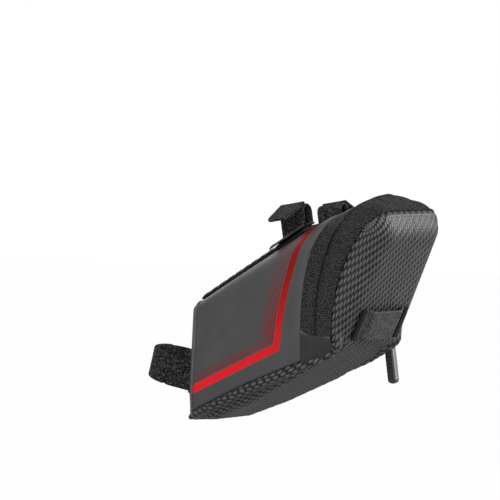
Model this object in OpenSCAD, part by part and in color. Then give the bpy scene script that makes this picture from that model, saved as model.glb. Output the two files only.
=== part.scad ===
// Wedge saddle bag with a clamshell lid, a U-shaped zip and hook-and-loop straps.
// Row frame: origin on the seat post's axis, at the middle of the post strap;
// +X towards the back of the bicycle, -Y its left side, +Z up. Millimetres.
// Mould frame: the same directions, origin at the bottom of the bag's front face.

/* [Body] */
// Width across the front face
front_w = 45; // [41:1:48]
// Width across the back half
back_w = 82; // [78:1:84]
// Height of the front face's top corners
front_h = 81; // [78:1:83]
// Thickness of the moulded foam wall
wall = 3; // [2.4:0.2:3.2]
// Thickness of the cloth lining
lining_t = 0.8; // [0.6:0.1:0.9]
// Height of the coloured foot rim over the bag's floor at the front
rim_h = 6; // [5:0.5:7]

/* [Zip] */
// Distance of the closing line's straight lower part behind the front face
zip_x = 121; // [119:0.5:122]
// Height where the closing line starts to lean back
zip_bend_z = 70; // [68:1:72]
// Radius of the closing line's lean, seen from the side
zip_r = 130; // [126:1:134]
// Height of the closing line's two lower ends
zip_end_z = 64; // [62:0.5:65]
// Width of one zip tape on the body
body_tape_w = 12; // [11:0.5:13]
// Width of one zip tape on the lid
lid_tape_w = 12; // [11:0.5:13]
// Thickness of a zip tape
tape_t = 1.2; // [0.8:0.2:1.4]
// Width of one coil, from the closing line
coil_w = 3; // [2.4:0.2:3.4]

/* [Straps] */
// Diameter of the seat post
post_d = 31.6; // [30.9:0.1:31.8]
// Lean of the seat post from upright
post_lean = 15.5; // [15:0.5:17]
// Width of the seat post strap
post_strap_w = 21; // [19:1:22]
// Diameter of a saddle rail
rail_d = 7; // [7:0.1:7.2]
// Half the distance between the saddle rails
rail_y = 22; // [21:0.5:23]
// Rise of the rails towards the back
rail_rise = 9; // [7:1:10]
// Width of a rail strap
rail_strap_w = 20; // [18:1:21]
// Thickness of the strap webbing
strap_t = 1.8; // [1.4:0.1:2]

/* [Back face] */
// Width of the light loop's webbing
loop_h = 22; // [20:1:24]
// Length of the light loop across the bag
loop_w = 52; // [48:1:54]
// Free height under the light loop
loop_gap = 3.4; // [3:0.1:3.6]
// Length of the zip's rubber puller
puller_len = 38; // [34:1:40]

/* [Hidden] */
$fn = 64;

// Colours
panel_grey = "#4c4d4f";
shell_grey = "#3a3b3d";
tape_black = "#232324";
strap_black = "#1b1b1c";
lining_grey = "#5d5f63";
piping_grey = "#77797c";
rubber_grey = "#5b5c5e";

// Seat post strap's centre in the mould frame, on the post's axis
post_x = -23.5;
post_z = 35;
post_r = post_d / 2;

// Clearance between pieces on different bodies
gap = 0.3;
// Open width between the two tapes, where the slider's blade runs
line_gap = 0.9;
// Depth of the tapes under the panels' outer face
tape_sink = 0.4;
// Thickness of the zip's end patches, which lie on the tapes
patch_t = 1.2;

// The mould's corner balls: [x, half the distance apart, z, radius]
half_front = front_w / 2;
half_back = back_w / 2;
corner_balls = [
  [6.5, half_front - 5, 6, 5.5],
  [5, half_front - 5, 19, 5],
  [22, half_front - 4, 9, 7.5],
  [50, 22.5, 20.5, 8.5],
  [88, 30, 38, 8.5],
  [109, half_back - 7, 49.5, 7],
  [127, half_back - 12, 64, 12],
  [155, half_back - 18.5, 134.5, 18.5],
  [150, 0, 136.5, 20.5],
  [114, half_back - 18, 117, 18],
  [9, half_front - 6, front_h - 6, 6]
];

// Back face: lean from upright, and the point where its flat part begins
back_lean = 26.6;
back_x = 137.7;
back_z = 58.6;

// Ribs of the grip pad
pad_base_t = 2.2;
pad_rib_t = 4;
rib_pitch = 7.3;
rib_w = 4.4;
rib_count = 13;
pad_x0 = 10;

// Slider: width, length, plate thickness, and its place on the closing line
slider_w = 9;
slider_l = 12;
plate_t = 1.3;
slider_z = zip_bend_z + 1.5;
coil_t = 2;
tape_depth = tape_sink + tape_t;
// Bridge over the slider, and the cord loop that goes through it
bridge_r = 4.4;
bridge_wire_r = 0.8;
pull_y = 3.6;
loop_r = 4.2;
loop_wire_r = 0.7;
// Puller: width, thickness, and the lean of its hang
puller_w = 5.6;
puller_t = 4.6;
puller_lean = 7.5;

// Post strap: the sewn ends' half distance and their distance from the post's axis
anchor_y = 9;
anchor_x = 28;
anchor_t = 1.4;
// Rail strap's place, and the length and droop of its free end
rail_x = 92;
rail_z = 144;
rail_tail_len = 21;
rail_tail_droop = 28;
strap_tab_t = 1.2;

// ---------- the mould and its cutters ----------

// Puts the mould frame into the row frame
module mould() translate([-post_x, 0, -post_z]) children();

// The bag's outer form, shrunk by inset all round
module wedge(inset = 0) hull()
  for (b = corner_balls, side = [-1, 1])
    translate([b.x, side * b.y, b.z]) sphere(r = b[3] - inset, $fn = 24);

// The wall between two depths under the outer face
module skin(outer, inner) difference() {
  wedge(outer);
  wedge(inner);
}

// A side-view outline carried right across the bag
module across(w = 120) rotate([90, 0, 0]) linear_extrude(w, center = true) children();

// Side-view outline of all that lies d or more behind the closing line
module behind_line(d) {
  translate([zip_x + d, 0]) square([90, zip_bend_z]);
  intersection() {
    translate([zip_x + zip_r, zip_bend_z]) circle(zip_r - d, $fn = 200);
    translate([zip_x - 40, zip_bend_z - 0.01]) square([150, 110]);
  }
}

// Side-view outline of all that lies behind the lid tape's sewn edge: it widens to the top
module behind_lid_tape() {
  edge_drop = 8;
  translate([zip_x + lid_tape_w, 0]) square([90, zip_bend_z - edge_drop]);
  intersection() {
    translate([zip_x + zip_r, zip_bend_z - edge_drop]) circle(zip_r - lid_tape_w, $fn = 200);
    translate([zip_x - 40, zip_bend_z - edge_drop - 0.01]) square([150, 120]);
  }
}

// Side-view outline under the seam between the floor shell and the side panels.
// At the zip it turns up round the end patch.
module under_seam(d = 0) polygon([
  [-10, -20], [160, -20], [160, zip_end_z - 2], [zip_x + lid_tape_w + d, zip_end_z - 2],
  [zip_x + lid_tape_w - 1 + d, 57.5 - d], [zip_x + 6 + d / 2, 52.5 - d], [zip_x - 3, 49 - d],
  [105, 44.5 - d], [60, 29 - d], [16, 11.5 - d], [4, rim_h - d], [-10, rim_h - 2 - d]
]);

// Side-view outline in front of the front seam
module front_of_seam(d = 0) polygon([
  [-10, -10], [4.2 + d, -10], [4.2 + d, 19], [8.4 + d, front_h - 1], [10 + d, 120], [-10, 120]
]);

// Plan outline of the top between the two side panels, eased by d
module top_plan(d = 0) polygon([
  [0, -13.5 - d], [106, -22 - d], [160, -22 - d], [160, 22 + d], [106, 22 + d], [0, 13.5 + d]
]);

// All that is above a plane well inside the bag, which keeps the top and drops the floor
module upper_half() across() polygon([[-20, 40], [60, 75], [180, 140], [180, 220], [-20, 220]]);

// ---------- the body ----------

module base_shell() color(shell_grey) mould() difference() {
  intersection() {
    skin(0, wall);
    across() under_seam();
  }
  across() front_of_seam();
  across() behind_line(-gap / 2);
}

module side_panel() intersection() {
  difference() {
    skin(0, wall);
    across() under_seam();
    across() front_of_seam();
    across() behind_line(-body_tape_w);
    linear_extrude(200) top_plan();
  }
  translate([-10, 0, 0]) cube([150, 60, 180]);
}

module left_side_panel() color(panel_grey) mould() mirror([0, 1, 0]) side_panel();

module right_side_panel() color(panel_grey) mould() side_panel();

// The front panel is dished where it bears on the seat post
module front_panel() color(panel_grey) mould() difference() {
  intersection() {
    skin(0, wall);
    across() front_of_seam();
  }
  on_post() cylinder(r = post_r + 0.5, h = 160, center = true, $fn = 96);
}

module top_panel() color(panel_grey) mould() intersection() {
  difference() {
    skin(0, wall);
    across() front_of_seam();
    across() behind_line(-body_tape_w);
  }
  linear_extrude(200) top_plan();
  upper_half();
}

// Ribbed rubber pad over the top: a thin sheet with round-edged ribs across it
module top_grip_pad() color(strap_black) mould() intersection() {
  union() {
    skin(-pad_base_t, 0);
    intersection() {
      skin(-pad_rib_t, -pad_base_t + 0.2);
      for (i = [0:rib_count - 1])
        translate([pad_x0 + 1.2 + i * rib_pitch, -40, 0]) cube([rib_w, 80, 200]);
    }
  }
  linear_extrude(200) polygon([
    [pad_x0, -17], [106, -29.6], [106, 29.6], [pad_x0, 17]
  ]);
  upper_half();
}

// Thin cord sewn over the front seam
module front_piping() color(piping_grey) mould() intersection() {
  skin(-0.9, 0);
  across() difference() {
    front_of_seam(0.8);
    front_of_seam(-0.8);
  }
  translate([-20, -40, -20]) cube([60, 80, front_h + 14]);
}

module body_lining() color(lining_grey) mould() difference() {
  skin(wall, wall + lining_t);
  across() behind_line(-body_tape_w);
}

// ---------- the zip ----------

module zip_tape_body() color(tape_black) mould() intersection() {
  skin(tape_sink, tape_depth);
  across() difference() {
    behind_line(-body_tape_w);
    behind_line(-line_gap / 2);
    under_seam();
  }
}

module zip_tape_lid() color(tape_black) mould() intersection() {
  skin(tape_sink, tape_depth);
  across() difference() {
    behind_line(line_gap / 2);
    behind_lid_tape();
    under_seam();
  }
}

// The coils are on the tapes' inner side and meet at the closing line
module coil(d0, d1) intersection() {
  skin(tape_depth, tape_depth + coil_t);
  across() difference() {
    behind_line(d0);
    behind_line(d1);
    translate([0, -50]) square([200, 50 + zip_end_z + 1]);
  }
}

module zip_coil_body() color(strap_black) mould() coil(-coil_w, -line_gap / 2);

module zip_coil_lid() color(strap_black) mould() coil(line_gap / 2, coil_w);

// Moulded patches that cover the zip's lower ends
module end_patch() intersection() {
  skin(tape_sink - patch_t, tape_sink);
  across() difference() {
    translate([zip_x - body_tape_w, 30]) square([body_tape_w - line_gap / 2, zip_end_z - 30]);
    under_seam();
  }
  cube([200, 60, 100]);
}

module left_zip_end_patch() color(strap_black) mould() mirror([0, 1, 0]) end_patch();

module right_zip_end_patch() color(strap_black) mould() end_patch();

// Two small crimped stops, one at each lower end of the body's coil
module zip_stops() color("#8c8d90") mould() for (side = [-1, 1])
  translate([zip_x - line_gap / 2 - 1.2, side * (half_back - tape_depth - 1.3), zip_end_z + 0.5])
    cube([2.4, 2, 1], center = true);

// ---------- the lid ----------

module lid_shell() color(shell_grey) mould() intersection() {
  skin(0, wall);
  across() union() {
    behind_lid_tape();
    difference() {
      under_seam();
      translate([-20, -30]) square([zip_x + gap / 2 + 20, 200]);
    }
  }
}

module lid_lining() color(lining_grey) mould() intersection() {
  skin(wall, wall + lining_t);
  across() behind_line(lid_tape_w + 5);
}

// Back-face frame: X out of the face, Z up along it, Y across
module on_back_face() translate([back_x, 0, back_z]) rotate([0, back_lean, 0]) children();

// Slab parallel to the back face, from z0 to z1 up it, with its outer side depth inside it
module pocket_slab(depth, t, z0, z1) intersection() {
  wedge(wall + lining_t + 0.05);
  on_back_face() translate([-depth - t, -50, z0]) cube([t, 100, z1 - z0]);
}

module lid_mesh_pocket() color("#2c2d2f") mould() pocket_slab(12, 0.8, -8, 36);

module mesh_pocket_hem() color(strap_black) mould() pocket_slab(11.6, 1.6, 36, 42);

// Webbing loop for a rear light: sewn down at both ends, raised between them
module light_loop() color(strap_black) mould() on_back_face() translate([0, 0, 14])
  linear_extrude(loop_h, center = true) difference() {
    loop_outline(strap_t - 0.4, loop_gap + strap_t - 0.4);
    loop_outline(0, loop_gap);
    translate([-10, -50]) square([10, 100]);
  }

// Outline of the loop's outer or inner face, seen from above
module loop_outline(end_t, height) {
  sewn = 7;
  rise = 4;
  polygon([
    [-1, -loop_w / 2], [end_t, -loop_w / 2], [end_t, sewn - loop_w / 2],
    [height, sewn + rise - loop_w / 2], [height, loop_w / 2 - sewn - rise],
    [end_t, loop_w / 2 - sewn], [end_t, loop_w / 2], [-1, loop_w / 2]
  ]);
}

module light_loop_bartacks() color("#3c3d40") mould() on_back_face() for (side = [-1, 1])
  translate([strap_t - 0.1, side * (loop_w / 2 - 3.5), 14])
    cube([0.6, 2.2, loop_h - 4], center = true);

// ---------- the slider and its puller ----------

// Slider frame: origin on the closing line, X back, Y out of the right wall, Z up the zip
module on_slider() translate([zip_x, half_back, slider_z]) children();

module slider_outline() hull() {
  translate([0, 2 - slider_l / 2]) circle(2.6, $fn = 32);
  for (side = [-1, 1])
    translate([side * (slider_w / 2 - 1.5), slider_l / 2 - 2]) circle(1.5, $fn = 32);
}

// A plate of the slider whose inner side is y out of the wall
module slider_plate(y) translate([0, y + plate_t, 0]) rotate([90, 0, 0])
  linear_extrude(plate_t) slider_outline();

module zip_slider() color("#2e2f31") mould() on_slider() {
  outer_y = gap - tape_sink;
  inner_y = -tape_depth - coil_t - 2 * gap;
  slider_plate(outer_y);
  slider_plate(inner_y - plate_t);
  // blade between the two tapes
  translate([-0.2, inner_y - 0.1, -6]) cube([0.4, outer_y - inner_y + 0.2, 3.4]);
  // bridge for the puller's cord
  translate([0, outer_y + plate_t - 0.1, 0]) rotate([0, -90, 0])
    rotate_extrude(angle = 180, $fn = 48) translate([bridge_r, 0]) circle(bridge_wire_r, $fn = 24);
}

// Puller frame: origin on the swing axis, -Z down the hanging puller
module on_puller() on_slider() translate([0, pull_y, 0]) rotate([0, -puller_lean, 0]) children();

// Loop of cord that is moulded into the puller's top
module pull_loop_ring() translate([0, 0, -loop_r]) rotate([90, 0, 0])
  rotate_extrude($fn = 48) translate([loop_r, 0]) circle(loop_wire_r, $fn = 24);

module zip_pull_loop() color(strap_black) mould() on_puller() pull_loop_ring();

module zip_puller() color(rubber_grey) mould() on_puller() difference() {
  translate([0, 0, -2 * loop_r + 1.1]) {
    translate([0, puller_t / 2, -puller_len + puller_w / 2]) rotate([90, 0, 0])
      cylinder(r = puller_w / 2, h = puller_t, $fn = 48);
    translate([-puller_w / 2, -puller_t / 2, -puller_len + puller_w / 2])
      cube([puller_w, puller_t, puller_len - puller_w / 2]);
  }
  pull_loop_ring();
}

// ---------- the straps ----------

// Post frame: origin at the strap's centre, Z up the seat post
module on_post() translate([post_x, 0, post_z]) rotate([0, post_lean, 0]) children();

// Where a straight leg that ends at [x, y] leaves a circle of radius r
function tangent_angle(r, x, y) = atan2(y, x) + acos(r / norm([x, y]));

// Circle of radius r round the post, drawn out to the two sewn ends
module post_loop(r, end_y) {
  leg_r = r - 0.05;
  a = tangent_angle(leg_r, anchor_x, end_y);
  circle(r, $fn = 96);
  polygon([
    [0, 0], [leg_r * cos(a), leg_r * sin(a)], [anchor_x, end_y],
    [anchor_x, -end_y], [leg_r * cos(a), -leg_r * sin(a)]
  ]);
}

module post_strap() color(strap_black) mould() difference() {
  on_post() linear_extrude(post_strap_w, center = true) difference() {
    post_loop(post_r + strap_t, anchor_y + strap_t);
    post_loop(post_r, anchor_y);
    translate([anchor_x - 0.5, -20]) square([10, 40]);
  }
  wedge(-anchor_t);
}

// Webbing patch on the front panel that the post strap's ends are sewn to
module post_strap_anchor() color(tape_black) mould() intersection() {
  skin(-anchor_t, 0);
  translate([-10, -14, 15]) cube([14, 28, 26]);
}

// Free end of the post strap, lying over its front and left side
module post_strap_tail() color(strap_black) mould() on_post()
  linear_extrude(post_strap_w, center = true) arc_band(post_r + strap_t + gap, strap_t, 150, 284);

// Band of thickness t outside radius r, between two angles
module arc_band(r, t, from, to) difference() {
  circle(r + t, $fn = 96);
  circle(r, $fn = 96);
  polygon(concat([[0, 0]], [for (a = [to : (360 + from - to) / 8 : 360 + from + 0.01])
    3 * r * [cos(a), sin(a)]]));
}

// Rail frame: origin on the left (-1) or right (1) rail, X back along it
module on_rail(side) translate([rail_x, side * rail_y, rail_z]) rotate([0, -rail_rise, 0])
  children();

// An outline seen along the rail, carried along the strap's width
module along_rail(side, w = rail_strap_w) on_rail(side) rotate([90, 0, 90])
  linear_extrude(w, center = true) children();

module rail_loop(r) {
  circle(r, $fn = 64);
  translate([-r, -40]) square([2 * r, 40]);
}

// Strap over a rail, with both ends sewn down to the tab on the pad
module rail_strap(side) difference() {
  along_rail(side) difference() {
    rail_loop(rail_d / 2 + strap_t);
    rail_loop(rail_d / 2);
  }
  wedge(-pad_rib_t - strap_tab_t);
}

// Free end of a rail strap, standing out from it with rounded corners
module rail_strap_tail(side) on_rail(side) rotate([side * -rail_tail_droop, 0, 0])
  translate([0, 0, rail_d / 2 + strap_t + gap]) linear_extrude(strap_t) hull() {
    corner = 4;
    translate([-rail_strap_w / 2, -0.5]) square([rail_strap_w, 1]);
    for (x = [-1, 1])
      translate([x * (rail_strap_w / 2 - corner), side * (rail_tail_len - corner)])
        circle(corner, $fn = 32);
  }

// Webbing tab that a rail strap's ends are sewn to, on top of the grip pad
module rail_strap_anchor(side) intersection() {
  skin(-pad_rib_t - strap_tab_t, -pad_rib_t);
  translate([rail_x - 13, side * rail_y - 7.5, 60]) cube([26, 15, 120]);
}

module left_rail_strap() color(strap_black) mould() rail_strap(-1);

module left_rail_strap_tail() color(strap_black) mould() rail_strap_tail(-1);

module left_rail_strap_anchor() color(tape_black) mould() rail_strap_anchor(-1);

module right_rail_strap() color(strap_black) mould() rail_strap(1);

module right_rail_strap_tail() color(strap_black) mould() rail_strap_tail(1);

module right_rail_strap_anchor() color(tape_black) mould() rail_strap_anchor(1);

// ---------- one line for each node ----------

base_shell();
left_side_panel();
right_side_panel();
front_panel();
top_panel();
top_grip_pad();
front_piping();
body_lining();
zip_tape_body();
zip_coil_body();
left_zip_end_patch();
right_zip_end_patch();
zip_stops();
lid_shell();
lid_lining();
zip_tape_lid();
zip_coil_lid();
lid_mesh_pocket();
mesh_pocket_hem();
light_loop();
light_loop_bartacks();
zip_slider();
zip_pull_loop();
zip_puller();
post_strap();
post_strap_anchor();
post_strap_tail();
left_rail_strap();
left_rail_strap_tail();
left_rail_strap_anchor();
right_rail_strap();
right_rail_strap_tail();
right_rail_strap_anchor();
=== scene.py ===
# %% [markdown]
# # A wedge saddle bag
# The imported parts come in first and stay where they are: they say how big everything is
# and what moves. Every piece made here but the shell rides on one of their bodies.

# %% Load the frame
import math

import bpy
import numpy as np
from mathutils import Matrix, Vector


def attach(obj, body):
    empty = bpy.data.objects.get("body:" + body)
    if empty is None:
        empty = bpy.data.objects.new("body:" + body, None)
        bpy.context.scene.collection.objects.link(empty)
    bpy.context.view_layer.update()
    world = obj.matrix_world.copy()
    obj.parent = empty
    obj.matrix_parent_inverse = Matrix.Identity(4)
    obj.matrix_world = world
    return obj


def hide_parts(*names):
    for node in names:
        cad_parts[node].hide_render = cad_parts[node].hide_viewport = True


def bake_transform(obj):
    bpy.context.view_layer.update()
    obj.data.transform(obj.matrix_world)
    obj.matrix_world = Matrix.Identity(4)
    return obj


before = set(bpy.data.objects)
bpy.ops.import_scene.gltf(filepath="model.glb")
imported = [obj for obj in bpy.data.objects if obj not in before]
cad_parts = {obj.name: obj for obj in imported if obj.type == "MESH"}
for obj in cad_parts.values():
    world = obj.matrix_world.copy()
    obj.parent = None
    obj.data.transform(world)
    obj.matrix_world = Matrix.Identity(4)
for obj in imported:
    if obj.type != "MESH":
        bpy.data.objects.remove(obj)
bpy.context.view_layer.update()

# %% [markdown]
# The bag is designed in millimetres from the bottom of its front face: X back, Y to the
# right, Z up. The frame's origin is on the seat post instead, so one helper takes a point
# from the bag's own measure to the frame's metres.

# %% Places and measures
MM = 0.001
POST_AT = np.array([-23.5, 0.0, 35.0])
POST_LEAN = math.radians(15.5)
ZIP_X, ZIP_BEND_Z, ZIP_R = 121.0, 70.0, 130.0
TAPE_W = 12.0
MIRROR = np.array([1, -1, 1])


def place(points):
    """Bag millimetres to the frame's metres"""
    return (np.asarray(points, float) - POST_AT) * MM


def deselect():
    if bpy.context.object and bpy.context.object.mode != "OBJECT":
        bpy.ops.object.mode_set(mode="OBJECT")
    bpy.ops.object.select_all(action="DESELECT")


def pick(obj):
    deselect()
    obj.select_set(True)
    bpy.context.view_layer.objects.active = obj
    return obj


def apply_modifier(obj, kind, **settings):
    pick(obj)
    modifier = obj.modifiers.new(kind.title(), kind)
    for key, value in settings.items():
        setattr(modifier, key, value)
    bpy.ops.object.modifier_apply(modifier=modifier.name)
    return obj


def apply_place(obj):
    pick(obj)
    bpy.ops.object.transform_apply(location=True, rotation=True, scale=True)
    return obj


def smooth(obj, degrees=40):
    pick(obj)
    bpy.ops.object.shade_smooth_by_angle(angle=math.radians(degrees))
    return obj


def start_edit(obj):
    """Opens a mesh for editing with all of it selected"""
    pick(obj)
    bpy.ops.object.mode_set(mode="EDIT")
    bpy.ops.mesh.select_all(action="SELECT")


def end_edit():
    bpy.ops.object.mode_set(mode="OBJECT")


def face_out(obj):
    start_edit(obj)
    bpy.ops.mesh.normals_make_consistent(inside=False)
    end_edit()
    return obj


def join(name, parts):
    deselect()
    for part in parts:
        part.select_set(True)
    bpy.context.view_layer.objects.active = parts[0]
    bpy.ops.object.join()
    obj = bpy.context.object
    obj.name = obj.data.name = name
    return obj

# %% [markdown]
# A moulded bag starts on a solid former. Ours is a set of balls at the corners, wrapped
# in their common skin, which gives flat sides that run smoothly into round corners. The
# former is a tool: panels are laid on it, and it is thrown away at the end.

# %% Make the former
HALF_FRONT, HALF_BACK, FRONT_H = 22.5, 41.0, 81.0
# Each ball, made on both sides: back, right, up and radius
CORNER_BALLS = [
    (6.5, HALF_FRONT - 5, 6, 5.5),
    (5, HALF_FRONT - 5, 19, 5),
    (22, HALF_FRONT - 4, 9, 7.5),
    (50, 22.5, 20.5, 8.5),
    (88, 30, 38, 8.5),
    (109, HALF_BACK - 7, 49.5, 7),
    (127, HALF_BACK - 12, 64, 12),
    (155, HALF_BACK - 18.5, 134.5, 18.5),
    (150, 0, 136.5, 20.5),
    (114, HALF_BACK - 18, 117, 18),
    (9, HALF_FRONT - 6, FRONT_H - 6, 6),
]
deselect()
balls = []
for x, y, z, r in CORNER_BALLS:
    for side in (-1, 1):
        bpy.ops.mesh.primitive_uv_sphere_add(
            segments=96, ring_count=48, radius=r * MM, location=place((x, side * y, z))
        )
        balls.append(bpy.context.object)
former = apply_place(join("former", balls))
start_edit(former)
bpy.ops.mesh.convex_hull()
end_edit()
bpy.context.view_layer.update()
print("former:", len(former.data.polygons), "faces")

# %% [markdown]
# To lay a panel, lines are thrown out from the middle of the former, and the points
# where they come out are the panel's points. A ring goes round one section; its front to
# back place may change with height, so that a row of a panel can follow a curved zip.


# %% Helpers that lay points on the former
def touch(origin, direction):
    ok, where, _, _ = former.ray_cast(Vector(place(origin)), Vector(direction))
    return np.array(where) / MM + POST_AT


# A point well inside the bag, from which every wall can be seen
HEART = Vector(place((110, 0, 85)))


def reach(x, y, z):
    """How far out a point is: below 1 inside the former, 1 on it, above 1 outside"""
    way = Vector(place((x, y, z))) - HEART
    _, where, _, _ = former.ray_cast(HEART, way)
    return way.length / max((where - HEART).length, 1e-9)


def middle_z(x):
    """Height of the bag's middle, front to back"""
    return np.interp(x, [0, 40, 110, 150, 170], [42, 50, 82, 115, 137])


FIRST_Z, FAR_OUT = 70, 90.0


def ring(x_at, angles):
    """Points round one section, whose front to back place x_at may change with height"""
    centre = middle_z(x_at(middle_z(x_at(FIRST_Z))))
    points = []
    for a in angles:
        c, s = math.cos(a), math.sin(a)

        def at(r):
            z = centre + r * s
            return x_at(z), r * c, z

        low, high = 0.0, FAR_OUT
        f_low, f_high = reach(*at(low)) - 1, reach(*at(high)) - 1
        # A straight line between the two ends is tried again and again until it hits
        for _ in range(14):
            r = high - f_high * (high - low) / (f_high - f_low)
            f = reach(*at(r)) - 1
            if abs(f) < 1e-6:
                break
            if f * f_high < 0:
                low, f_low = high, f_high
            else:
                f_low *= 0.5
            high, f_high = r, f
        points.append(at(r))
    return np.array(points)


def lengths(points):
    steps = np.linalg.norm(np.diff(points, axis=0), axis=1)
    return np.concatenate([[0], np.cumsum(steps)])


def at_lengths(points, where):
    s = lengths(points)
    return np.stack([np.interp(where, s, points[:, k]) for k in range(3)], axis=1)


# Distances from a panel's edge of its first points, close enough to roll it smoothly
EDGE_STEPS = np.array([0, 0.12, 0.35, 0.7, 1.15, 1.7])


def spread(length, count):
    """Even distances along a length, closer together at both ends"""
    inner = np.linspace(EDGE_STEPS[-1], length - EDGE_STEPS[-1], count)
    return np.concatenate([EDGE_STEPS[:-1], inner, (length - EDGE_STEPS[:-1])[::-1]])


def part_of(points, room):
    """The one stretch of a line where room(point) is above zero, cut at its exact ends"""
    value = np.array([room(p) for p in points])
    inside = np.where(value > 0)[0]
    first, last = inside[0], inside[-1]
    out = list(points[first:last + 1])
    if first > 0:
        t = value[first] / (value[first] - value[first - 1])
        out.insert(0, points[first] + t * (points[first - 1] - points[first]))
    if last < len(points) - 1:
        t = value[last] / (value[last] - value[last + 1])
        out.append(points[last] + t * (points[last + 1] - points[last]))
    return np.array(out)

# %% [markdown]
# The seams are lines in the side view. The closing line goes straight up and then leans
# back on a large circle; the tapes' edges follow it.


# %% Seam lines
FLOOR_SEAM = np.array([
    (4.2, 6.1), (16, 11.5), (60, 29), (105, 44.5), (118, 49), (124.5, 51.4), (129.2, 54.2),
    (131.8, 57.8), (132.8, 61), (133, 64)
])


def floor_seam_z(x):
    return np.interp(x, FLOOR_SEAM[:, 0], FLOOR_SEAM[:, 1])


FRONT_X, FRONT_BEND_Z = 4.2, 19


def front_x(z):
    """The front seam stands upright, then leans back as much again over the panel's height"""
    if z < FRONT_BEND_Z:
        return FRONT_X
    return FRONT_X + (z - FRONT_BEND_Z) * FRONT_X / 61


def closing_x(z, back=0.0, bend_z=ZIP_BEND_Z):
    """A line along the zip, so far back from the closing line"""
    if z < bend_z:
        return ZIP_X + back
    r = ZIP_R - back
    return ZIP_X + ZIP_R - math.sqrt(max(r * r - (z - bend_z) ** 2, 1.0))


def lid_edge_x(z):
    return closing_x(z, TAPE_W, ZIP_BEND_Z - 8)


def top_half(x):
    """Half width of the top panel"""
    return np.interp(x, [0, 106], [13.5, 22])

# %% [markdown]
# A panel is a net of points. The net's own slopes give the way out of the bag at every
# point, so a panel can be swelled, sunk or rolled in at its edges before it is skinned.


# %% Helpers that shape a net and skin it
def outward(net):
    across = np.gradient(net, axis=0)
    along = np.gradient(net, axis=1)
    n = np.cross(across, along)
    n /= np.maximum(np.linalg.norm(n, axis=2, keepdims=True), 1e-9)
    middle = net.mean(axis=(0, 1))
    away = net - np.array([85.0 if middle[0] < 110 else 120.0, 0, 75])
    if (n * away).sum() < 0:
        n = -n
    return n


def net_uv(net):
    """The net's own unrolled lengths in millimetres: along its rows, and down its columns"""
    along = np.array([lengths(row) for row in net])
    down = np.array([lengths(column) for column in net.swapaxes(0, 1)]).T
    return np.stack([along, down], axis=2)


def edge_distance(net, sides="uUvV"):
    """Distance of each point from the net's chosen sides, along the net"""
    along, down = np.moveaxis(net_uv(net), 2, 0)
    d = np.full(along.shape, 1e3)
    if "u" in sides:
        d = np.minimum(d, down)
    if "U" in sides:
        d = np.minimum(d, down[-1:] - down)
    if "v" in sides:
        d = np.minimum(d, along)
    if "V" in sides:
        d = np.minimum(d, along[:, -1:] - along)
    return d


def roll(distance, depth, width):
    """How far a rolled edge drops at each distance from it"""
    t = np.clip(1 - distance / width, 0, 1)
    return depth * (1 - np.sqrt(1 - t * t))


def swell(net, height):
    """Moves a net's points out of the bag by a height in millimetres"""
    return net + outward(net) * np.asarray(height)[..., None]


def grid(name, net, uv):
    """A grid laid on a net of points, with unrolled millimetres as its UVs"""
    rows, cols = net.shape[:2]
    deselect()
    bpy.ops.mesh.primitive_grid_add(x_subdivisions=cols - 1, y_subdivisions=rows - 1, size=1)
    obj = bpy.context.object
    obj.name = obj.data.name = name
    obj.data.vertices.foreach_set("co", place(net).ravel())
    obj.data.update()
    order = np.empty(len(obj.data.loops), int)
    obj.data.loops.foreach_get("vertex_index", order)
    obj.data.uv_layers.active.data.foreach_set("uv", (uv.reshape(-1, 2)[order] * MM).ravel())
    return obj


def solidify(obj, thick):
    return apply_modifier(obj, "SOLIDIFY", thickness=thick * MM, offset=-1, use_rim=True)


def skin(name, net, uv=None, thick=1.6, angle=50):
    """A sheet laid on a net, thickened inwards"""
    obj = grid(name, net, net_uv(net) if uv is None else uv)
    middle = obj.data.polygons[len(obj.data.polygons) // 2]
    i, j = divmod(middle.vertices[0], net.shape[1])
    if np.dot(np.array(middle.normal), outward(net)[i, j]) < 0:
        start_edit(obj)
        bpy.ops.mesh.flip_normals()
        end_edit()
    if thick:
        solidify(obj, thick)
    return smooth(obj, angle)


pieces = {}


def tell(obj):
    bpy.context.view_layer.update()
    size = " x ".join(f"{side / MM:.1f}" for side in obj.dimensions)
    print(f"{obj.name}: {len(obj.data.polygons)} faces, {size} mm")


def keep(obj, body, slot, *nodes):
    """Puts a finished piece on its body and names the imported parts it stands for"""
    obj["slot"] = slot
    if nodes:
        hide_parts(*nodes)
    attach(obj, body)
    pieces[obj.name] = obj
    tell(obj)
    return obj

# %% [markdown]
# The two side panels are smooth coated cloth over foam. Each is laid section by section
# from the front seam to the zip, then swelled a little, as foam under cloth does, with
# its edges rolled into the seams. The back edge stands up in a soft bead beside the zip.


# %% Side panels
def wall_net(sections, angles, room, across):
    """Sections of a wall from the front seam to the zip, each cut where its room ends"""
    net = []
    for u in np.linspace(0, 1, sections):
        def x_at(z, u=u):
            rear = closing_x(z, -TAPE_W) - 0.2
            return front_x(z) + (rear - front_x(z)) * u

        line = part_of(ring(x_at, np.radians(angles)), room)
        net.append(at_lengths(line, spread(lengths(line)[-1], across)))
    return np.array(net)


def crown(net, height):
    rows, cols = net.shape[:2]
    u = np.linspace(0, 1, rows)[:, None]
    v = np.linspace(0, 1, cols)[None, :]
    return height * np.sin(math.pi * u) ** 0.7 * np.sin(math.pi * v) ** 0.7


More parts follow.
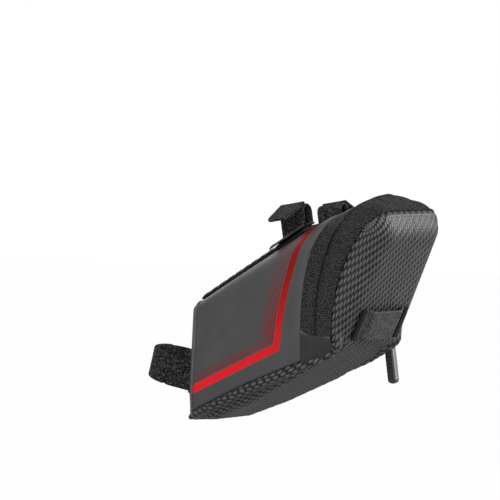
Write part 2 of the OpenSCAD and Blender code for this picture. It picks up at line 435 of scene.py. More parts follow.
side = wall_net(96, np.linspace(-84, 89, 220),
                lambda p: min(p[2] - floor_seam_z(p[0]), p[1] - top_half(p[0])), 62)
BEAD_H, BEAD_AT, BEAD_W = 0.9, 5.5, 4.0
bead = BEAD_H * np.exp(-((edge_distance(side, "U") - BEAD_AT) / BEAD_W) ** 2)
side = swell(side, crown(side, 0.9) - roll(edge_distance(side), 0.9, 2.2) + bead)
keep(skin("right_side_cloth", side), "body", "panel_cloth", "right_side_panel")
keep(skin("left_side_cloth", side * MIRROR), "body", "panel_cloth", "left_side_panel")

# %% [markdown]
# The top panel joins the side panels between the front seam and the zip. It is plain
# cloth, mostly hidden by the grip pad.

# %% Top panel
top = wall_net(80, np.linspace(20, 160, 180), lambda p: top_half(p[0]) - abs(p[1]), 26)
top = swell(top, -roll(edge_distance(top), 0.8, 1.8))
keep(skin("top_cloth", top), "body", "panel_cloth", "top_panel")

# %% [markdown]
# The front panel leans on the seat post. Its net runs in rings from the front seam to
# the middle of the face, and it is pushed back where the round post presses into it.


# %% Front panel
POST_CLEAR = 16.3


def post_gap(point, r=POST_CLEAR):
    """Moves a point straight back until it is clear of the seat post"""
    x, y, z = point
    lean_c, lean_s = math.cos(POST_LEAN), math.sin(POST_LEAN)
    dx, dz = x - POST_AT[0], z - POST_AT[2]
    ahead = dx * lean_c - dz * lean_s
    need = math.sqrt(max(r * r - y * y, 0))
    if ahead < need and abs(y) < r:
        x += (need - ahead) / lean_c
    return (x, y, z)


def front_net():
    loop = ring(front_x, np.radians(np.linspace(-90, 90, 120)))
    loop = np.concatenate([loop, (loop * MIRROR)[::-1][1:]])
    heart = np.array([28.0, 0, 42])
    face = np.array([0.9, 0, 42.0])
    rows = []
    # Shares of the way from the middle out to the seam, closer together beside the seam
    for t in np.concatenate([[1, 0.995, 0.985, 0.97, 0.95, 0.92], np.linspace(0.88, 0.02, 26)]):
        row = [touch(heart, (face - heart) * (1 - t) + (p - heart) * t) for p in loop]
        rows.append([post_gap(p) for p in row])
    return np.array(rows)


front = front_net()
front = swell(front, -roll(edge_distance(front, "u"), 0.8, 1.8))
keep(skin("front_cloth", front), "body", "panel_cloth", "front_panel")

# %% [markdown]
# The grey shell is one moulding: floor, foot rim and lid, pressed with a woven carbon
# look. It is made as one piece here. Each row of its net goes from a point on the seam to a
# point on the bag's middle line.

# %% Moulded shell: rim and middle line
RIM_STEP = 0.7
rim_low = []
for a, b in zip(FLOOR_SEAM[:-1], FLOOR_SEAM[1:]):
    for t in np.linspace(0, 1, max(2, int(np.hypot(*(b - a)) / RIM_STEP)), endpoint=False):
        x, z = a + (b - a) * t
        rim_low.append(touch((x, 0, z), (0, 1, 0)))
start_angle = math.atan2(64.5 - middle_z(lid_edge_x(middle_z(lid_edge_x(70)))), HALF_BACK)
rim_high = ring(lid_edge_x, np.linspace(start_angle, math.pi / 2, 260))
rim = np.concatenate([np.array(rim_low), rim_high])

middle_line = []
heart = np.array([105.0, 0, 78.0])  # middle of the side view, seen from every floor point
for a in np.radians(np.linspace(-180, 90, 900)):
    middle_line.append(touch(heart, (math.cos(a), 0, math.sin(a))))
middle_line = np.array(middle_line)
first = np.argmin(np.hypot(middle_line[:, 0] - 4.2, middle_line[:, 2] - 0.8))
last = np.argmin(np.linalg.norm(middle_line - rim[-1], axis=1))
middle_line = middle_line[first:last + 1]

# Pairs of places in the side view: on the seam, and on the middle line
PAIRS = [
    ((4.2, 6.1), (4.2, 0.5)), ((30, 17), (31, 4)), ((60, 29), (64, 17)),
    ((105, 44.5), (112, 43)), ((122, 50.4), (133, 53.5)), ((131.8, 57.8), (144, 66)),
    ((133, 64), (148, 76)), ((137, 96), (157, 98)), ((146, 120), (163, 114)),
    ((158, 137), (167, 123)), ((166, 148), (169.5, 131)),
]
rim_s, middle_s = lengths(rim), lengths(middle_line)


def s_near(line, s, x, z):
    return s[np.argmin(np.hypot(line[:, 0] - x, line[:, 2] - z))]


pair_rim = [s_near(rim, rim_s, *p) for p, _ in PAIRS]
pair_mid = [s_near(middle_line, middle_s, *q) for _, q in PAIRS]
# The rim's own top end comes last, where the rows close up towards the zip
pair_rim.append(rim_s[-1])
pair_mid[-1] -= 6
pair_mid.append(pair_mid[-1] + 8)
print(f"rim {rim_s[-1]:.1f} mm, middle line {middle_s[-1]:.1f} mm, {len(pair_rim)} pairs")

# %% [markdown]
# The woven look is pressed into the moulding: floats of a two-over-one twill, each one
# a low lens 2.3 mm wide and twice as long, stepping up one strand at a time. They are
# real relief here, because they catch the light along the whole lid.

# %% Moulded shell: the weave and the unrolled shell
STRAND = 2.35     # width of a strand
FLOAT = 2.15      # length of a float in strands, out of a repeat of three


def twill(u, v):
    """Height from 0 to 1 of the pressed weave at unrolled places in millimetres"""
    strand = np.floor(u / STRAND)
    across = (u / STRAND - strand) * 2 - 1
    along = np.mod(v - strand * STRAND, 3 * STRAND) / STRAND
    float_h = np.sqrt(np.clip(1 - across ** 2, 0, 1)) ** 0.8
    ends = np.sin(math.pi * np.clip(along / FLOAT, 0, 1)) ** 0.45
    under = 0.35 * np.sin(math.pi * np.clip((along - FLOAT) / (3 - FLOAT), 0, 1))
    return np.where(along < FLOAT, float_h * ends, under * (1 - 0.3 * across ** 2))


BATCH = 2000


def unroll(points):
    """Unrolled place: distance along the middle line, and distance out from it"""
    flat = middle_line[:, [0, 2]]
    along = np.gradient(flat, axis=0)
    along /= np.linalg.norm(along, axis=1, keepdims=True)
    s, out = np.zeros((2, len(points)))
    for k in range(0, len(points), BATCH):
        p = points[k:k + BATCH][:, [0, 2]]
        i = np.linalg.norm(p[:, None] - flat[None], axis=2).argmin(axis=1)
        step = ((p - flat[i]) * along[i]).sum(axis=1)
        s[k:k + BATCH] = middle_s[i] + step
        out[k:k + BATCH] = np.linalg.norm(p - flat[i] - step[:, None] * along[i], axis=1)
    y = points[:, 1]
    return np.sign(y) * (np.abs(y) + out), s

# %% [markdown]
# Each row is drawn by rays from a spine inside the bag, so that it lies on the former.
# The rows are then mirrored, and the lip, the groove under it and the weave are raised on
# the net. The lip fades out over the lid.

# %% Moulded shell: the net and its relief
ROWS, COLUMNS = 286, 84
key_u = np.array(pair_mid) / pair_mid[-1]
spine = np.array([
    (14, 0, 26), (32, 0, 34), (60, 0, 46), (100, 0, 66), (116, 0, 78), (121, 0, 84),
    (123, 0, 90), (129, 0, 103), (138, 0, 117), (147, 0, 127), (150, 0, 130), (152, 0, 131)
])
shell_rows = []
for u in np.linspace(0, 1, ROWS):
    b = at_lengths(rim, [np.interp(u, key_u, pair_rim)])[0]
    c = at_lengths(middle_line, [np.interp(u, key_u, pair_mid)])[0]
    heart = np.array([np.interp(u, key_u, spine[:, k]) for k in range(3)])
    line = np.array([touch(heart, b + (c - b) * t - heart) for t in np.linspace(0, 1, 70)])
    inner_steps = np.linspace(EDGE_STEPS[-1], lengths(line)[-1], COLUMNS - 4)[1:]
    shell_rows.append(at_lengths(line, np.concatenate([EDGE_STEPS, inner_steps])))
half = np.array(shell_rows)
whole = np.concatenate([half, (half * MIRROR)[:, ::-1][:, 1:]], axis=1)
flat_u, flat_s = (flat.reshape(whole.shape[:2]) for flat in unroll(whole.reshape(-1, 3)))
edge = edge_distance(whole, "vV")
front_edge = edge_distance(whole, "u")
lid_share = np.clip((whole[..., 0] - 122) / 14, 0, 1) * np.clip((whole[..., 2] - 58) / 10, 0, 1)
LIP_H, LID_LIP_H, GROOVE_H, WEAVE_H, LID_WEAVE_H = 2.9, 0.5, 0.9, 0.4, 0.28
lip = LIP_H + (LID_LIP_H - LIP_H) * lid_share
lip = lip * np.exp(-((edge - 4.0) / 2.7) ** 2)
groove = GROOVE_H * (1 - lid_share) * np.exp(-((edge - 9.5) / 1.5) ** 2)
relief = WEAVE_H + (LID_WEAVE_H - WEAVE_H) * lid_share
relief = relief * twill(flat_u, flat_s) * np.clip((edge - 0.8) / 1.5, 0, 1)
drop = roll(edge, 1.6, 2.0) * (1 - 0.5 * lid_share) + roll(front_edge, 0.8, 1.8) + groove
whole = swell(whole, lip + relief - drop - 0.1)
shell = skin("moulded_shell", whole, np.stack([flat_u, flat_s], axis=2), thick=1.5, angle=80)
tell(shell)
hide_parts("base_shell", "lid_shell")
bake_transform(shell)

# %% [markdown]
# The zip is a coil zip turned inside out: from outside only two woven tapes show, each
# folded over its coil so that they meet in a fine line. Each tape is a narrow net that
# follows the closing line over the whole U, with a low ridge over the coil.

# %% Zip tapes
TAPE_FOOT_Z, COIL_FOOT_Z = 46, 65
low_angle = math.atan2(TAPE_FOOT_Z - middle_z(ZIP_X), HALF_BACK)
coil_angle = math.atan2(COIL_FOOT_Z - middle_z(ZIP_X), HALF_BACK)


def u_angles(start, count):
    """Even angles over the U of the zip, from its lower right end to its lower left end"""
    return np.linspace(start, math.pi - start, count)



def tape_net(from_x, to_x, wide):
    rows = []
    angles = u_angles(low_angle, 300)
    for w in spread(wide, 14) / wide:
        rows.append(ring(lambda z, w=w: from_x(z) + (to_x(z) - from_x(z)) * w, angles))
    return np.array(rows)


def tape_shape(net, line_d):
    """Low ridge over the coil, and an edge that rolls down at the closing line"""
    ridge = 0.8 * np.exp(-((line_d - 2.1) / 1.2) ** 2) - 1.2 * np.exp(-(line_d / 0.7) ** 2)
    return swell(net, ridge - 0.35)


HALF_GAP, TAPE_T, TAPE_CUT = 0.12, 0.7, 12.9
body_tape = tape_net(lambda z: closing_x(z, -TAPE_W - 1.0), lambda z: closing_x(z, -HALF_GAP),
                     TAPE_CUT)
body_tape = tape_shape(body_tape, edge_distance(body_tape, "U"))
keep(skin("body_tape", body_tape, thick=TAPE_T), "body", "zip_tape", "zip_tape_body")
lid_tape = tape_net(lambda z: closing_x(z, HALF_GAP), lambda z: lid_edge_x(z) + 1.2, TAPE_CUT)
lid_tape = tape_shape(lid_tape, edge_distance(lid_tape, "u"))
keep(skin("lid_tape", lid_tape, thick=TAPE_T), "lid", "zip_tape", "zip_tape_lid")

# %% [markdown]
# Cords, piping, bindings and the coils are all round or oval sections drawn along a
# line. One helper sweeps a section along a path: it lays a grid round the path, joins its
# long edges and closes its ends.

# %% Sweep helper
def sweep(name, path, sideways, section, closed=False, scale=None, flat=None, angle=60):
    """A section [(sideways, out)] carried along a path

    Scale narrows it and flat thins it on the way, each given once for every path point."""
    path = np.asarray(path, float)
    if closed:
        turn = np.roll(path, -1, axis=0) - np.roll(path, 1, axis=0)
    else:
        turn = np.gradient(path, axis=0)
    turn /= np.linalg.norm(turn, axis=1, keepdims=True)
    sideways = np.broadcast_to(np.asarray(sideways, float), path.shape)
    out = np.cross(turn, sideways)
    out /= np.linalg.norm(out, axis=1, keepdims=True)
    side_dir = np.cross(out, turn)
    scale = np.ones(len(path)) if scale is None else np.asarray(scale)
    flat = np.ones(len(path)) if flat is None else np.asarray(flat)
    section = np.asarray(section, float)
    ringed = np.concatenate([section, section[:1]])
    net = (path[:, None] + side_dir[:, None] * (ringed[:, 0] * scale[:, None])[..., None]
           + out[:, None] * (ringed[:, 1] * flat[:, None])[..., None])
    if closed:
        net = np.concatenate([net, net[:1]])
        path = np.concatenate([path, path[:1]])
    obj = grid(name, net, np.stack(np.meshgrid(lengths(ringed), lengths(path)), axis=2))
    start_edit(obj)
    bpy.ops.mesh.remove_doubles(threshold=2e-6)
    if not closed:
        bpy.ops.mesh.select_all(action="DESELECT")
        bpy.ops.mesh.select_mode(type="EDGE")
        bpy.ops.mesh.select_non_manifold(extend=False)
        bpy.ops.mesh.edge_face_add()
        bpy.ops.mesh.select_mode(type="VERT")
    end_edit()
    return smooth(face_out(obj), angle)


def oval(wide, thick, count=10):
    a = np.linspace(0, 2 * math.pi, count, endpoint=False)
    return np.column_stack([wide * np.cos(a), thick * np.sin(a)])


def webbing(wide, thick):
    """Section of a strap: flat faces, rounded edges and a slightly thicker selvedge"""
    w, t = wide / 2, thick / 2
    left = [(-w + 0.05, 0.45 * t), (-w + 0.3, 0.85 * t), (-w + 0.8, t + 0.06), (-w + 1.6, t),
            (-w / 2, t * 0.97)]
    face = left + [(0, t * 0.96)] + [(-a, b) for a, b in left[::-1]]
    return np.array([(-w, 0)] + face + [(w, 0)] + [(a, -b) for a, b in face[::-1]])


def round_end(path, corner, wide):
    """How much a strap narrows towards its last point to give it rounded corners"""
    s = lengths(path)
    left = np.clip(s[-1] - s, 0, corner)
    cut = corner - np.sqrt(np.maximum(corner ** 2 - (corner - left) ** 2, 0))
    return 1 - 2 * cut / wide

# %% [markdown]
# Inside, each coil is a nylon thread wound into tight turns. A helix swept along the
# closing line gives the row of teeth that shows when the lid is open.

# %% Zip coils
def wall_out(line):
    """The way out of the wall along a U-shaped line"""
    turn = np.gradient(line, axis=0)
    turn /= np.linalg.norm(turn, axis=1, keepdims=True)
    out = np.cross(turn, np.array([1.0, 0, 0]))
    out /= np.linalg.norm(out, axis=1, keepdims=True)
    if (out * (line - np.array([120, 0, 90]))).sum() < 0:
        out = -out
    return turn, out


COIL_PITCH, TURN_STEPS, COIL_DEPTH = 1.35, 7, 2.3


def coil(name, back, body, node):
    line = ring(lambda z: closing_x(z, back), u_angles(coil_angle, 260))
    total = lengths(line)[-1]
    base = at_lengths(line, np.linspace(0, total, int(total / COIL_PITCH) * TURN_STEPS))
    turn, out = wall_out(base)
    side_dir = np.cross(turn, out)
    phase = np.arange(len(base)) * 2 * math.pi / TURN_STEPS
    helix = (base - out * COIL_DEPTH + out * (0.8 * np.sin(phase))[:, None]
             + side_dir * (1.25 * np.cos(phase))[:, None])
    return keep(sweep(name, helix, turn, oval(0.33, 0.33, 5)), body, "zip_coil", node)


coil("body_coil", -1.35, "body", "zip_coil_body")
coil("lid_coil", 1.35, "lid", "zip_coil_lid")

# %% [markdown]
# A binding covers each tape's raw edge inside the bag. Outside, a thin cord finishes the
# lid's edge of the zip. All three are ovals drawn along the same U.

# %% Bindings and the lid's edge cord
def binding(name, x_at, body):
    line = ring(x_at, u_angles(low_angle + 0.1, 200))
    _, out = wall_out(line)
    return keep(sweep(name, line - out * 2.5, (1, 0, 0), oval(2.2, 1.2, 12)), body, "lining")


binding("body_binding", lambda z: closing_x(z, -TAPE_W - 1.4), "body")
binding("lid_binding", lambda z: lid_edge_x(z) + 1.6, "lid")

edge_line = ring(lambda z: lid_edge_x(z) - 0.1, u_angles(coil_angle - 0.1, 220))
_, edge_out = wall_out(edge_line)
keep(sweep("lid_edge_cord", edge_line + edge_out * 0.15, (1, 0, 0), oval(0.55, 0.55, 8)),
     "lid", "zip_tape")

# %% [markdown]
# A smooth patch covers each lower end of the zip. It tucks under the shell's lip and has
# one free edge on top, with a thin lit rim.


# %% End patches
PATCH_X, PATCH_W, PATCH_TOP, PATCH_EAR = 108.6, 24.0, 63.4, 4.8


def patch_net():
    rows = []
    for u in spread(22, 22) / 22:
        x = PATCH_X + PATCH_W * u
        low = floor_seam_z(min(x, 131.5)) - 1.2
        heights = low + (PATCH_TOP + PATCH_EAR * (1 - u) ** 6 - low) * np.linspace(0, 1, 26)
        rows.append([touch((x, 0, z), (0, 1, 0)) for z in heights])
    return np.array(rows)


patch = patch_net()
patch = swell(patch, 1.05 - roll(edge_distance(patch, "UuV"), 1.2, 1.6))
keep(skin("right_end_patch", patch, thick=1.2), "body", "end_patch", "right_zip_end_patch")
keep(skin("left_end_patch", patch * MIRROR, thick=1.2), "body", "end_patch", "left_zip_end_patch")

# %% [markdown]
# The grip pad on top is ribbed rubber. Its ribs go across the bag and turn down over the
# pad's edges.


# %% Grip pad
RIB_PITCH, RIB_X = 7.3, 11.2
PAD_FRONT, PAD_BACK = [10, 10.15, 10.4, 10.8], [105.4, 105.7, 105.9, 106]


def pad_net():
    rows = []
    for x in np.concatenate([PAD_FRONT, np.arange(11.2, 105.2, 0.55), PAD_BACK]):
        line = ring(lambda z, x=x: x, np.radians(np.linspace(12, 168, 90)))
        pad_half = 17 + (x - 10) / 96 * 12.6
        line = part_of(line, lambda p: pad_half - abs(p[1]))
        rows.append(at_lengths(line, spread(lengths(line)[-1], 34)))
    return np.array(rows)


pad = pad_net()
pad_phase = (pad[..., 0] - RIB_X - 0.09 * np.abs(pad[..., 1])) / RIB_PITCH
pad_rib = np.clip(np.sin(2 * math.pi * pad_phase) * 1.7 + 0.55, -1, 1)
pad_edge = edge_distance(pad)
pad_inside = np.clip((pad_edge - 1.2) / 3.0, 0, 1)
pad_h = 3.2 + (0.12 + 0.7 * pad_inside) * pad_rib - roll(pad_edge, 2.2, 1.6)
keep(skin("grip_pad", swell(pad, pad_h), thick=3.4, angle=70),
     "body", "grip_rubber", "top_grip_pad")

# %% [markdown]
# A thin twisted piping finishes the front seam all the way round.

# %% Piping
all_round = np.radians(np.linspace(-90, 270, 240, endpoint=False))
front_loop = ring(lambda z: front_x(z) + 0.2, all_round)
keep(sweep("front_piping", front_loop, (1, 0, 0), oval(1.0, 0.95, 10), closed=True),
     "body", "piping", "front_piping")

# %% [markdown]
# The post strap is a hook-and-loop band: its two ends are sewn to a patch on the front
# panel, it goes round the seat post, and its free end lies over it.


# %% Post strap
def on_post(points):
    """Points [(back, right)] in the plane square to the seat post, in bag millimetres"""
    points = np.asarray(points, float)
    c, s = math.cos(POST_LEAN), math.sin(POST_LEAN)
    return np.column_stack([POST_AT[0] + points[:, 0] * c, points[:, 1],
                            POST_AT[2] - points[:, 0] * s])


def arc(radius, start, end, count):
    """Points round a circle between two angles in degrees"""
    return [(radius * math.cos(a), radius * math.sin(a))
            for a in np.radians(np.linspace(start, end, count))]


def softened(line, times=3):
    """Rounds a line's corners by moving each inner point towards its neighbours"""
    for _ in range(times):
        line[1:-1] = (line[:-2] + 2 * line[1:-1] + line[2:]) / 4
    return line


POST_AXIS = (math.sin(POST_LEAN), 0, math.cos(POST_LEAN))
POST_R, STRAP_W, STRAP_T, TAIL_GAP = 15.8, 21.0, 1.8, 0.3
r = POST_R + STRAP_T / 2
leg = np.array([(24.6 - 0.9 * k, 10.0 + 0.42 * k) for k in range(22)])
leg = leg[[np.hypot(*p) > r + 0.3 for p in leg]]
turn_in = math.degrees(math.atan2(leg[-1][1], leg[-1][0]))
foot = [(25.1, 17.0), (25.0, 14.0), (24.95, 11.6)]
one_side = np.array(foot + [tuple(p) for p in leg])
post_path = softened(np.concatenate([one_side, arc(r, turn_in + 5, 355 - turn_in, 90),
                                     (one_side * (1, -1))[::-1]]))
keep(sweep("post_strap", on_post(post_path), POST_AXIS, webbing(STRAP_W, STRAP_T)),
     "body", "hook_loop", "post_strap")

tail_path = on_post(arc(POST_R + STRAP_T + TAIL_GAP + STRAP_T / 2, 150, 284, 60))
keep(sweep("post_strap_tail", tail_path, POST_AXIS, webbing(STRAP_W, STRAP_T),
           scale=round_end(tail_path, 3.0, STRAP_W)),
     "post_tail", "hook_loop", "post_strap_tail")

# %% [markdown]
# Sewn patches spread the pull of each strap into the bag. They are laid on the former
# like the panels, one webbing thickness up.

# %% Sewn patches
def rolled_patch(net, lift):
    return swell(net, lift - roll(edge_distance(net), 0.7, 0.9))


def front_patch():
    rows = [[post_gap(touch((30, y, z), (-1, 0, 0))) for z in spread(26, 14) + 15]
            for y in spread(28, 14) - 14]
    return rolled_patch(np.array(rows), 1.4)


def pad_patch(side):
    rows = [[touch((x, side * y, 80), (0, 0, 1)) for y in spread(15, 10) + 14.5]
            for x in spread(26, 14) + 79]
    return rolled_patch(np.array(rows), 5.3)


anchor = front_patch()
keep(skin("post_strap_patch", anchor, thick=1.3), "body", "webbing", "post_strap_anchor")

# %% [markdown]
# Each rail strap goes over a saddle rail and down to its patch on the pad. Its free end
# stands out from the rail like a small flap with rounded corners.

# %% Rail straps
RAIL_RISE = math.radians(9)
RAIL_AXIS = np.array([math.cos(RAIL_RISE), 0, math.sin(RAIL_RISE)])
RAIL_AT, RAIL_Y, RAIL_R, RAIL_W = (92.0, 144.0), 22.0, 3.5, 20.0


def on_rail(side, points):
    """Points [(outwards, up)] square to the rail, in bag millimetres"""
    points = np.asarray(points, float)
    c, s = math.cos(RAIL_RISE), math.sin(RAIL_RISE)
    return np.column_stack([RAIL_AT[0] - points[:, 1] * s, side * (RAIL_Y + points[:, 0]),
                            RAIL_AT[1] + points[:, 1] * c])


DROOP, FLAP_L, STRAP_SUNK = math.radians(28), 21, 0.8


def rail_strap(side, word):
    r = RAIL_R + STRAP_T / 2
    down = [(r, -h) for h in np.linspace(30, 1.0, 16)]
    path = on_rail(side, down + arc(r, 0, 180, 30) + [(-x, z) for x, z in down[::-1]])
    strap = sweep(f"{word}_rail_strap", path, RAIL_AXIS, webbing(RAIL_W, STRAP_T))
    tab = pad_patch(side)
    middle = tab[len(tab) // 2, tab.shape[1] // 2]
    slope = outward(tab)[len(tab) // 2, tab.shape[1] // 2]
    # The legs are cut off just under the patch that they are sewn to
    start_edit(strap)
    bpy.ops.mesh.bisect(plane_co=place(middle - slope * STRAP_SUNK), plane_no=slope,
                        clear_inner=True, use_fill=True)
    end_edit()
    keep(smooth(strap, 50), "body", "hook_loop", f"{word}_rail_strap")
    keep(skin(f"{word}_rail_patch", tab, thick=1.2),
         "body", "webbing", f"{word}_rail_strap_anchor")
    flap_r = RAIL_R + STRAP_T + TAIL_GAP + STRAP_T / 2
    root = np.array([flap_r * math.sin(DROOP), flap_r * math.cos(DROOP)])
    way = np.array([math.cos(DROOP), -math.sin(DROOP)])
    flap_path = on_rail(side, [root + way * s for s in np.linspace(-0.5, FLAP_L, 34)])
    keep(sweep(f"{word}_rail_strap_tail", flap_path, RAIL_AXIS, webbing(RAIL_W, STRAP_T),
               scale=round_end(flap_path, 4.0, RAIL_W)),
         f"{word}_rail_tail", "hook_loop", f"{word}_rail_strap_tail")


SIDES = ((-1, "left"), (1, "right"))
for side, word in SIDES:
    rail_strap(side, word)

# %% [markdown]
# The light loop is a length of webbing sewn down at both ends, with room behind it for
# a lamp's clip.

# %% Light loop
BACK_LEAN = math.radians(26.6)
FACE_AT = np.array([137.7, 0, 58.6])
FACE_UP = np.array([math.sin(BACK_LEAN), 0, math.cos(BACK_LEAN)])
FACE_OUT = np.array([math.cos(BACK_LEAN), 0, -math.sin(BACK_LEAN)])


def on_face(out, y, up):
    """A point by its distances out from the lid's flat back, to the right and up along it"""
    return FACE_AT + FACE_OUT * out + FACE_UP * up + np.array([0, y, 0])


LOOP_W, LOOP_T, LOOP_UP = 22.0, 1.5, 14.0
# Height of the loop over the lid at distances from its middle, the same on both sides
LOOP_KEYS = [(0, 4.5), (12, 4.4), (15.2, 4.3), (17.2, 3.4), (19.4, 1.3), (22, 0.8), (26, 0.8)]
ys = np.linspace(-26, 26, 90)
heights = softened(np.interp(np.abs(ys), *zip(*LOOP_KEYS)))
loop_path = np.array([on_face(h, y, LOOP_UP) for y, h in zip(ys, heights)])
keep(sweep("light_loop", loop_path, FACE_UP, webbing(LOOP_W, LOOP_T)),
     "lid", "webbing", "light_loop")

# %% [markdown]
# Thread shows where webbing is sewn down. One stitch is a low rounded bar of a few faces;
# it is copied along each line of sewing, each copy turned to lie on the cloth.

# %% Stitches
# Where along a stitch its sections are, and how wide it is there
STITCH = [(-0.5, 0.25), (-0.38, 0.85), (0, 1.0), (0.38, 0.85), (0.5, 0.25)]
STITCH_DIP = 0.22


def stitch_row(name, points, normals, body, *nodes, length=1.9, gap=0.8, r=0.22):
    """Even stitches along a line, each lying on the cloth; the ends dip into it"""
    points, normals = np.asarray(points, float), np.asarray(normals, float)
    s = lengths(points)
    count = max(1, int(s[-1] / (length + gap)))
    section = oval(r, r * 0.9, 6)
    n, last = len(section), (len(STITCH) - 1) * len(section)
    verts, faces = [], []
    for k in range(count):
        mid = (k + 0.5) * s[-1] / count
        a, b = at_lengths(points, [mid - length / 2, mid + length / 2])
        along = (b - a) / max(np.linalg.norm(b - a), 1e-9)
        out = np.array([np.interp(mid, s, normals[:, i]) for i in range(3)])
        out /= np.linalg.norm(out)
        sideways = np.cross(along, out)
        centre = (a + b) / 2
        base = len(verts)
        for t, grow in STITCH:
            middle = centre + along * t * length - out * STITCH_DIP * (2 * t) ** 4
            verts += [middle + (sideways * p + out * q) * grow for p, q in section]
        for i in range(base, base + last, n):
            for j in range(n):
                beside = (j + 1) % n
                faces.append((i + j, i + beside, i + n + beside, i + n + j))
        faces.append(tuple(range(base + n - 1, base - 1, -1)))
        faces.append(tuple(range(base + last, base + last + n)))
    mesh = bpy.data.meshes.new(name)
    mesh.from_pydata([tuple(v) for v in place(verts)], [], faces)
    obj = bpy.data.objects.new(name, mesh)
    bpy.context.scene.collection.objects.link(obj)
    return keep(smooth(face_out(obj), 80), body, "thread", *nodes)


for end, word in SIDES:
    zigzag = [on_face(1.75, end * (22.2 if k % 2 else 20.4), LOOP_UP - 9 + k) for k in range(19)]
    nodes = ["light_loop_bartacks"] if word == "left" else []
    stitch_row(f"loop_bartack_{word}", zigzag, [FACE_OUT] * len(zigzag), "lid", *nodes,
               length=2.3, gap=-0.1, r=0.3)

# %% [markdown]
# The loop's webbing is folded under at both ends. Each fold is a strip in a much darker copy
# of the webbing: a painted shade for the shadow along each end.

# %% Folded ends of the light loop
for end, word in SIDES:
    fold = np.array([on_face(1.5, end * 24.6, LOOP_UP + k) for k in np.linspace(-11.2, 11.2, 24)])
    # A dark strip standing for the shadow along the loop's end: painted shade
    keep(sweep(f"loop_fold_{word}", fold, (0, 1, 0), webbing(4.6, 1.9)), "lid", "webbing")

# %% [markdown]
# The slider has two cast plates, a blade between the tapes and a bridge over the top.
# Each plate is a cylinder whose rim is moved to the outline of a slider, with bevelled
# edges.

# %% Slider
SLIDER_AT = np.array([121.0, 41.0, 71.5])
# Corners of the slider's outline: a centre and a radius each
SLIDER_CIRCLES = [((0, -4), 2.6), ((-3, 4), 1.5), ((3, 4), 1.5)]


def slider_edge(angle):
    """Point of the slider's outline that faces this way"""
    way = np.array([math.cos(angle), math.sin(angle)])
    centre, r = max(SLIDER_CIRCLES, key=lambda c: np.dot(c[0], way) + c[1])
    return np.array(centre) + way * r


def slider_plate(name, y_mid, thick):
    """A plate whose middle lies so far out from the wall"""
    deselect()
    bpy.ops.mesh.primitive_cylinder_add(vertices=48, radius=1, depth=2)
    obj = bpy.context.object
    obj.name = obj.data.name = name
    for v in obj.data.vertices:
        x, z = slider_edge(math.atan2(v.co.y, v.co.x))
        v.co = place(SLIDER_AT + (x, y_mid + v.co.z * thick / 2, z))
    face_out(obj)
    apply_modifier(obj, "BEVEL", width=0.45 * MM, segments=3, limit_method="ANGLE")
    return smooth(obj, 40)


outer = slider_plate("slider_plate", 1.35, 1.5)
inner = slider_plate("slider_inner_plate", -4.85, 1.3)
blade = slider_plate("slider_blade", -1.9, 6.0)
# The blade is a plate pressed thin, low down between the tapes
for v in blade.data.vertices:
    x, y, z = np.array(v.co) / MM + POST_AT - SLIDER_AT
    v.co = place(SLIDER_AT + (x * 0.1, y, -4.6 + (z + 4) * 0.22))
arch = [SLIDER_AT + (0, 1.9 + 4.2 * math.sin(a) ** 0.7, 4.4 * math.cos(a))
        for a in np.linspace(0.02, math.pi - 0.02, 24)]
bridge = sweep("slider_bridge", arch, (1, 0, 0), oval(1.25, 0.75, 12))
beads = []
for turned in (math.pi, 0):
    edge = [slider_edge(a) for a in np.linspace(-1.2, 1.2, 14) + turned]
    bead_path = [SLIDER_AT + (0.86 * x, 2.15, 0.9 * z) for x, z in edge]
    beads.append(sweep("slider_bead", bead_path, (0, 1, 0), oval(0.28, 0.35, 8)))
keep(join("zip_slider_body", [outer, inner, blade, bridge] + beads),
     "slider", "zip_metal", "zip_slider")

# %% [markdown]
# A loop of thin cord joins the slider's bridge to a moulded rubber puller. The puller is
# a rounded bar, a little wider towards its end, with finger ridges.

# %% Cord loop and puller
LEAN = math.radians(7.5)


def on_puller(points):
    """Points measured along the hanging puller, moved to where it leans on the bag"""
    points = np.asarray(points, float)
    c, s = math.cos(LEAN), math.sin(LEAN)
    return SLIDER_AT + np.column_stack([points[:, 0] * c - points[:, 2] * s, points[:, 1] + 3.6,
                                        points[:, 0] * s + points[:, 2] * c])


CORD_R, CORD_HALF_W, CORD_HALF_H = 0.72, 3.3, 4.35
round_loop = np.linspace(0, 2 * math.pi, 64, endpoint=False)
cord_up = np.cos(round_loop) * np.where(np.cos(round_loop) > 0, 1, 1.06)
cord_ring = on_puller(np.column_stack([CORD_HALF_W * np.sin(round_loop), 0 * cord_up,
                                       CORD_HALF_H * (cord_up - 1)]))
cord = sweep("pull_cord", cord_ring, (0, 1, 0), oval(CORD_R, CORD_R, 10), closed=True)
keep(cord, "puller", "webbing", "zip_pull_loop")


def rounded(wide, thick, corner, steps=5):
    """Section with rounded corners"""
    w, t = wide / 2 - corner, thick / 2 - corner
    points = []
    for k, (a, b) in enumerate([(w, t), (-w, t), (-w, -t), (w, -t)]):
        for q in np.linspace(0, math.pi / 2, steps):
            points.append((a + corner * math.cos(q + k * math.pi / 2),
                           b + corner * math.sin(q + k * math.pi / 2)))
    return points


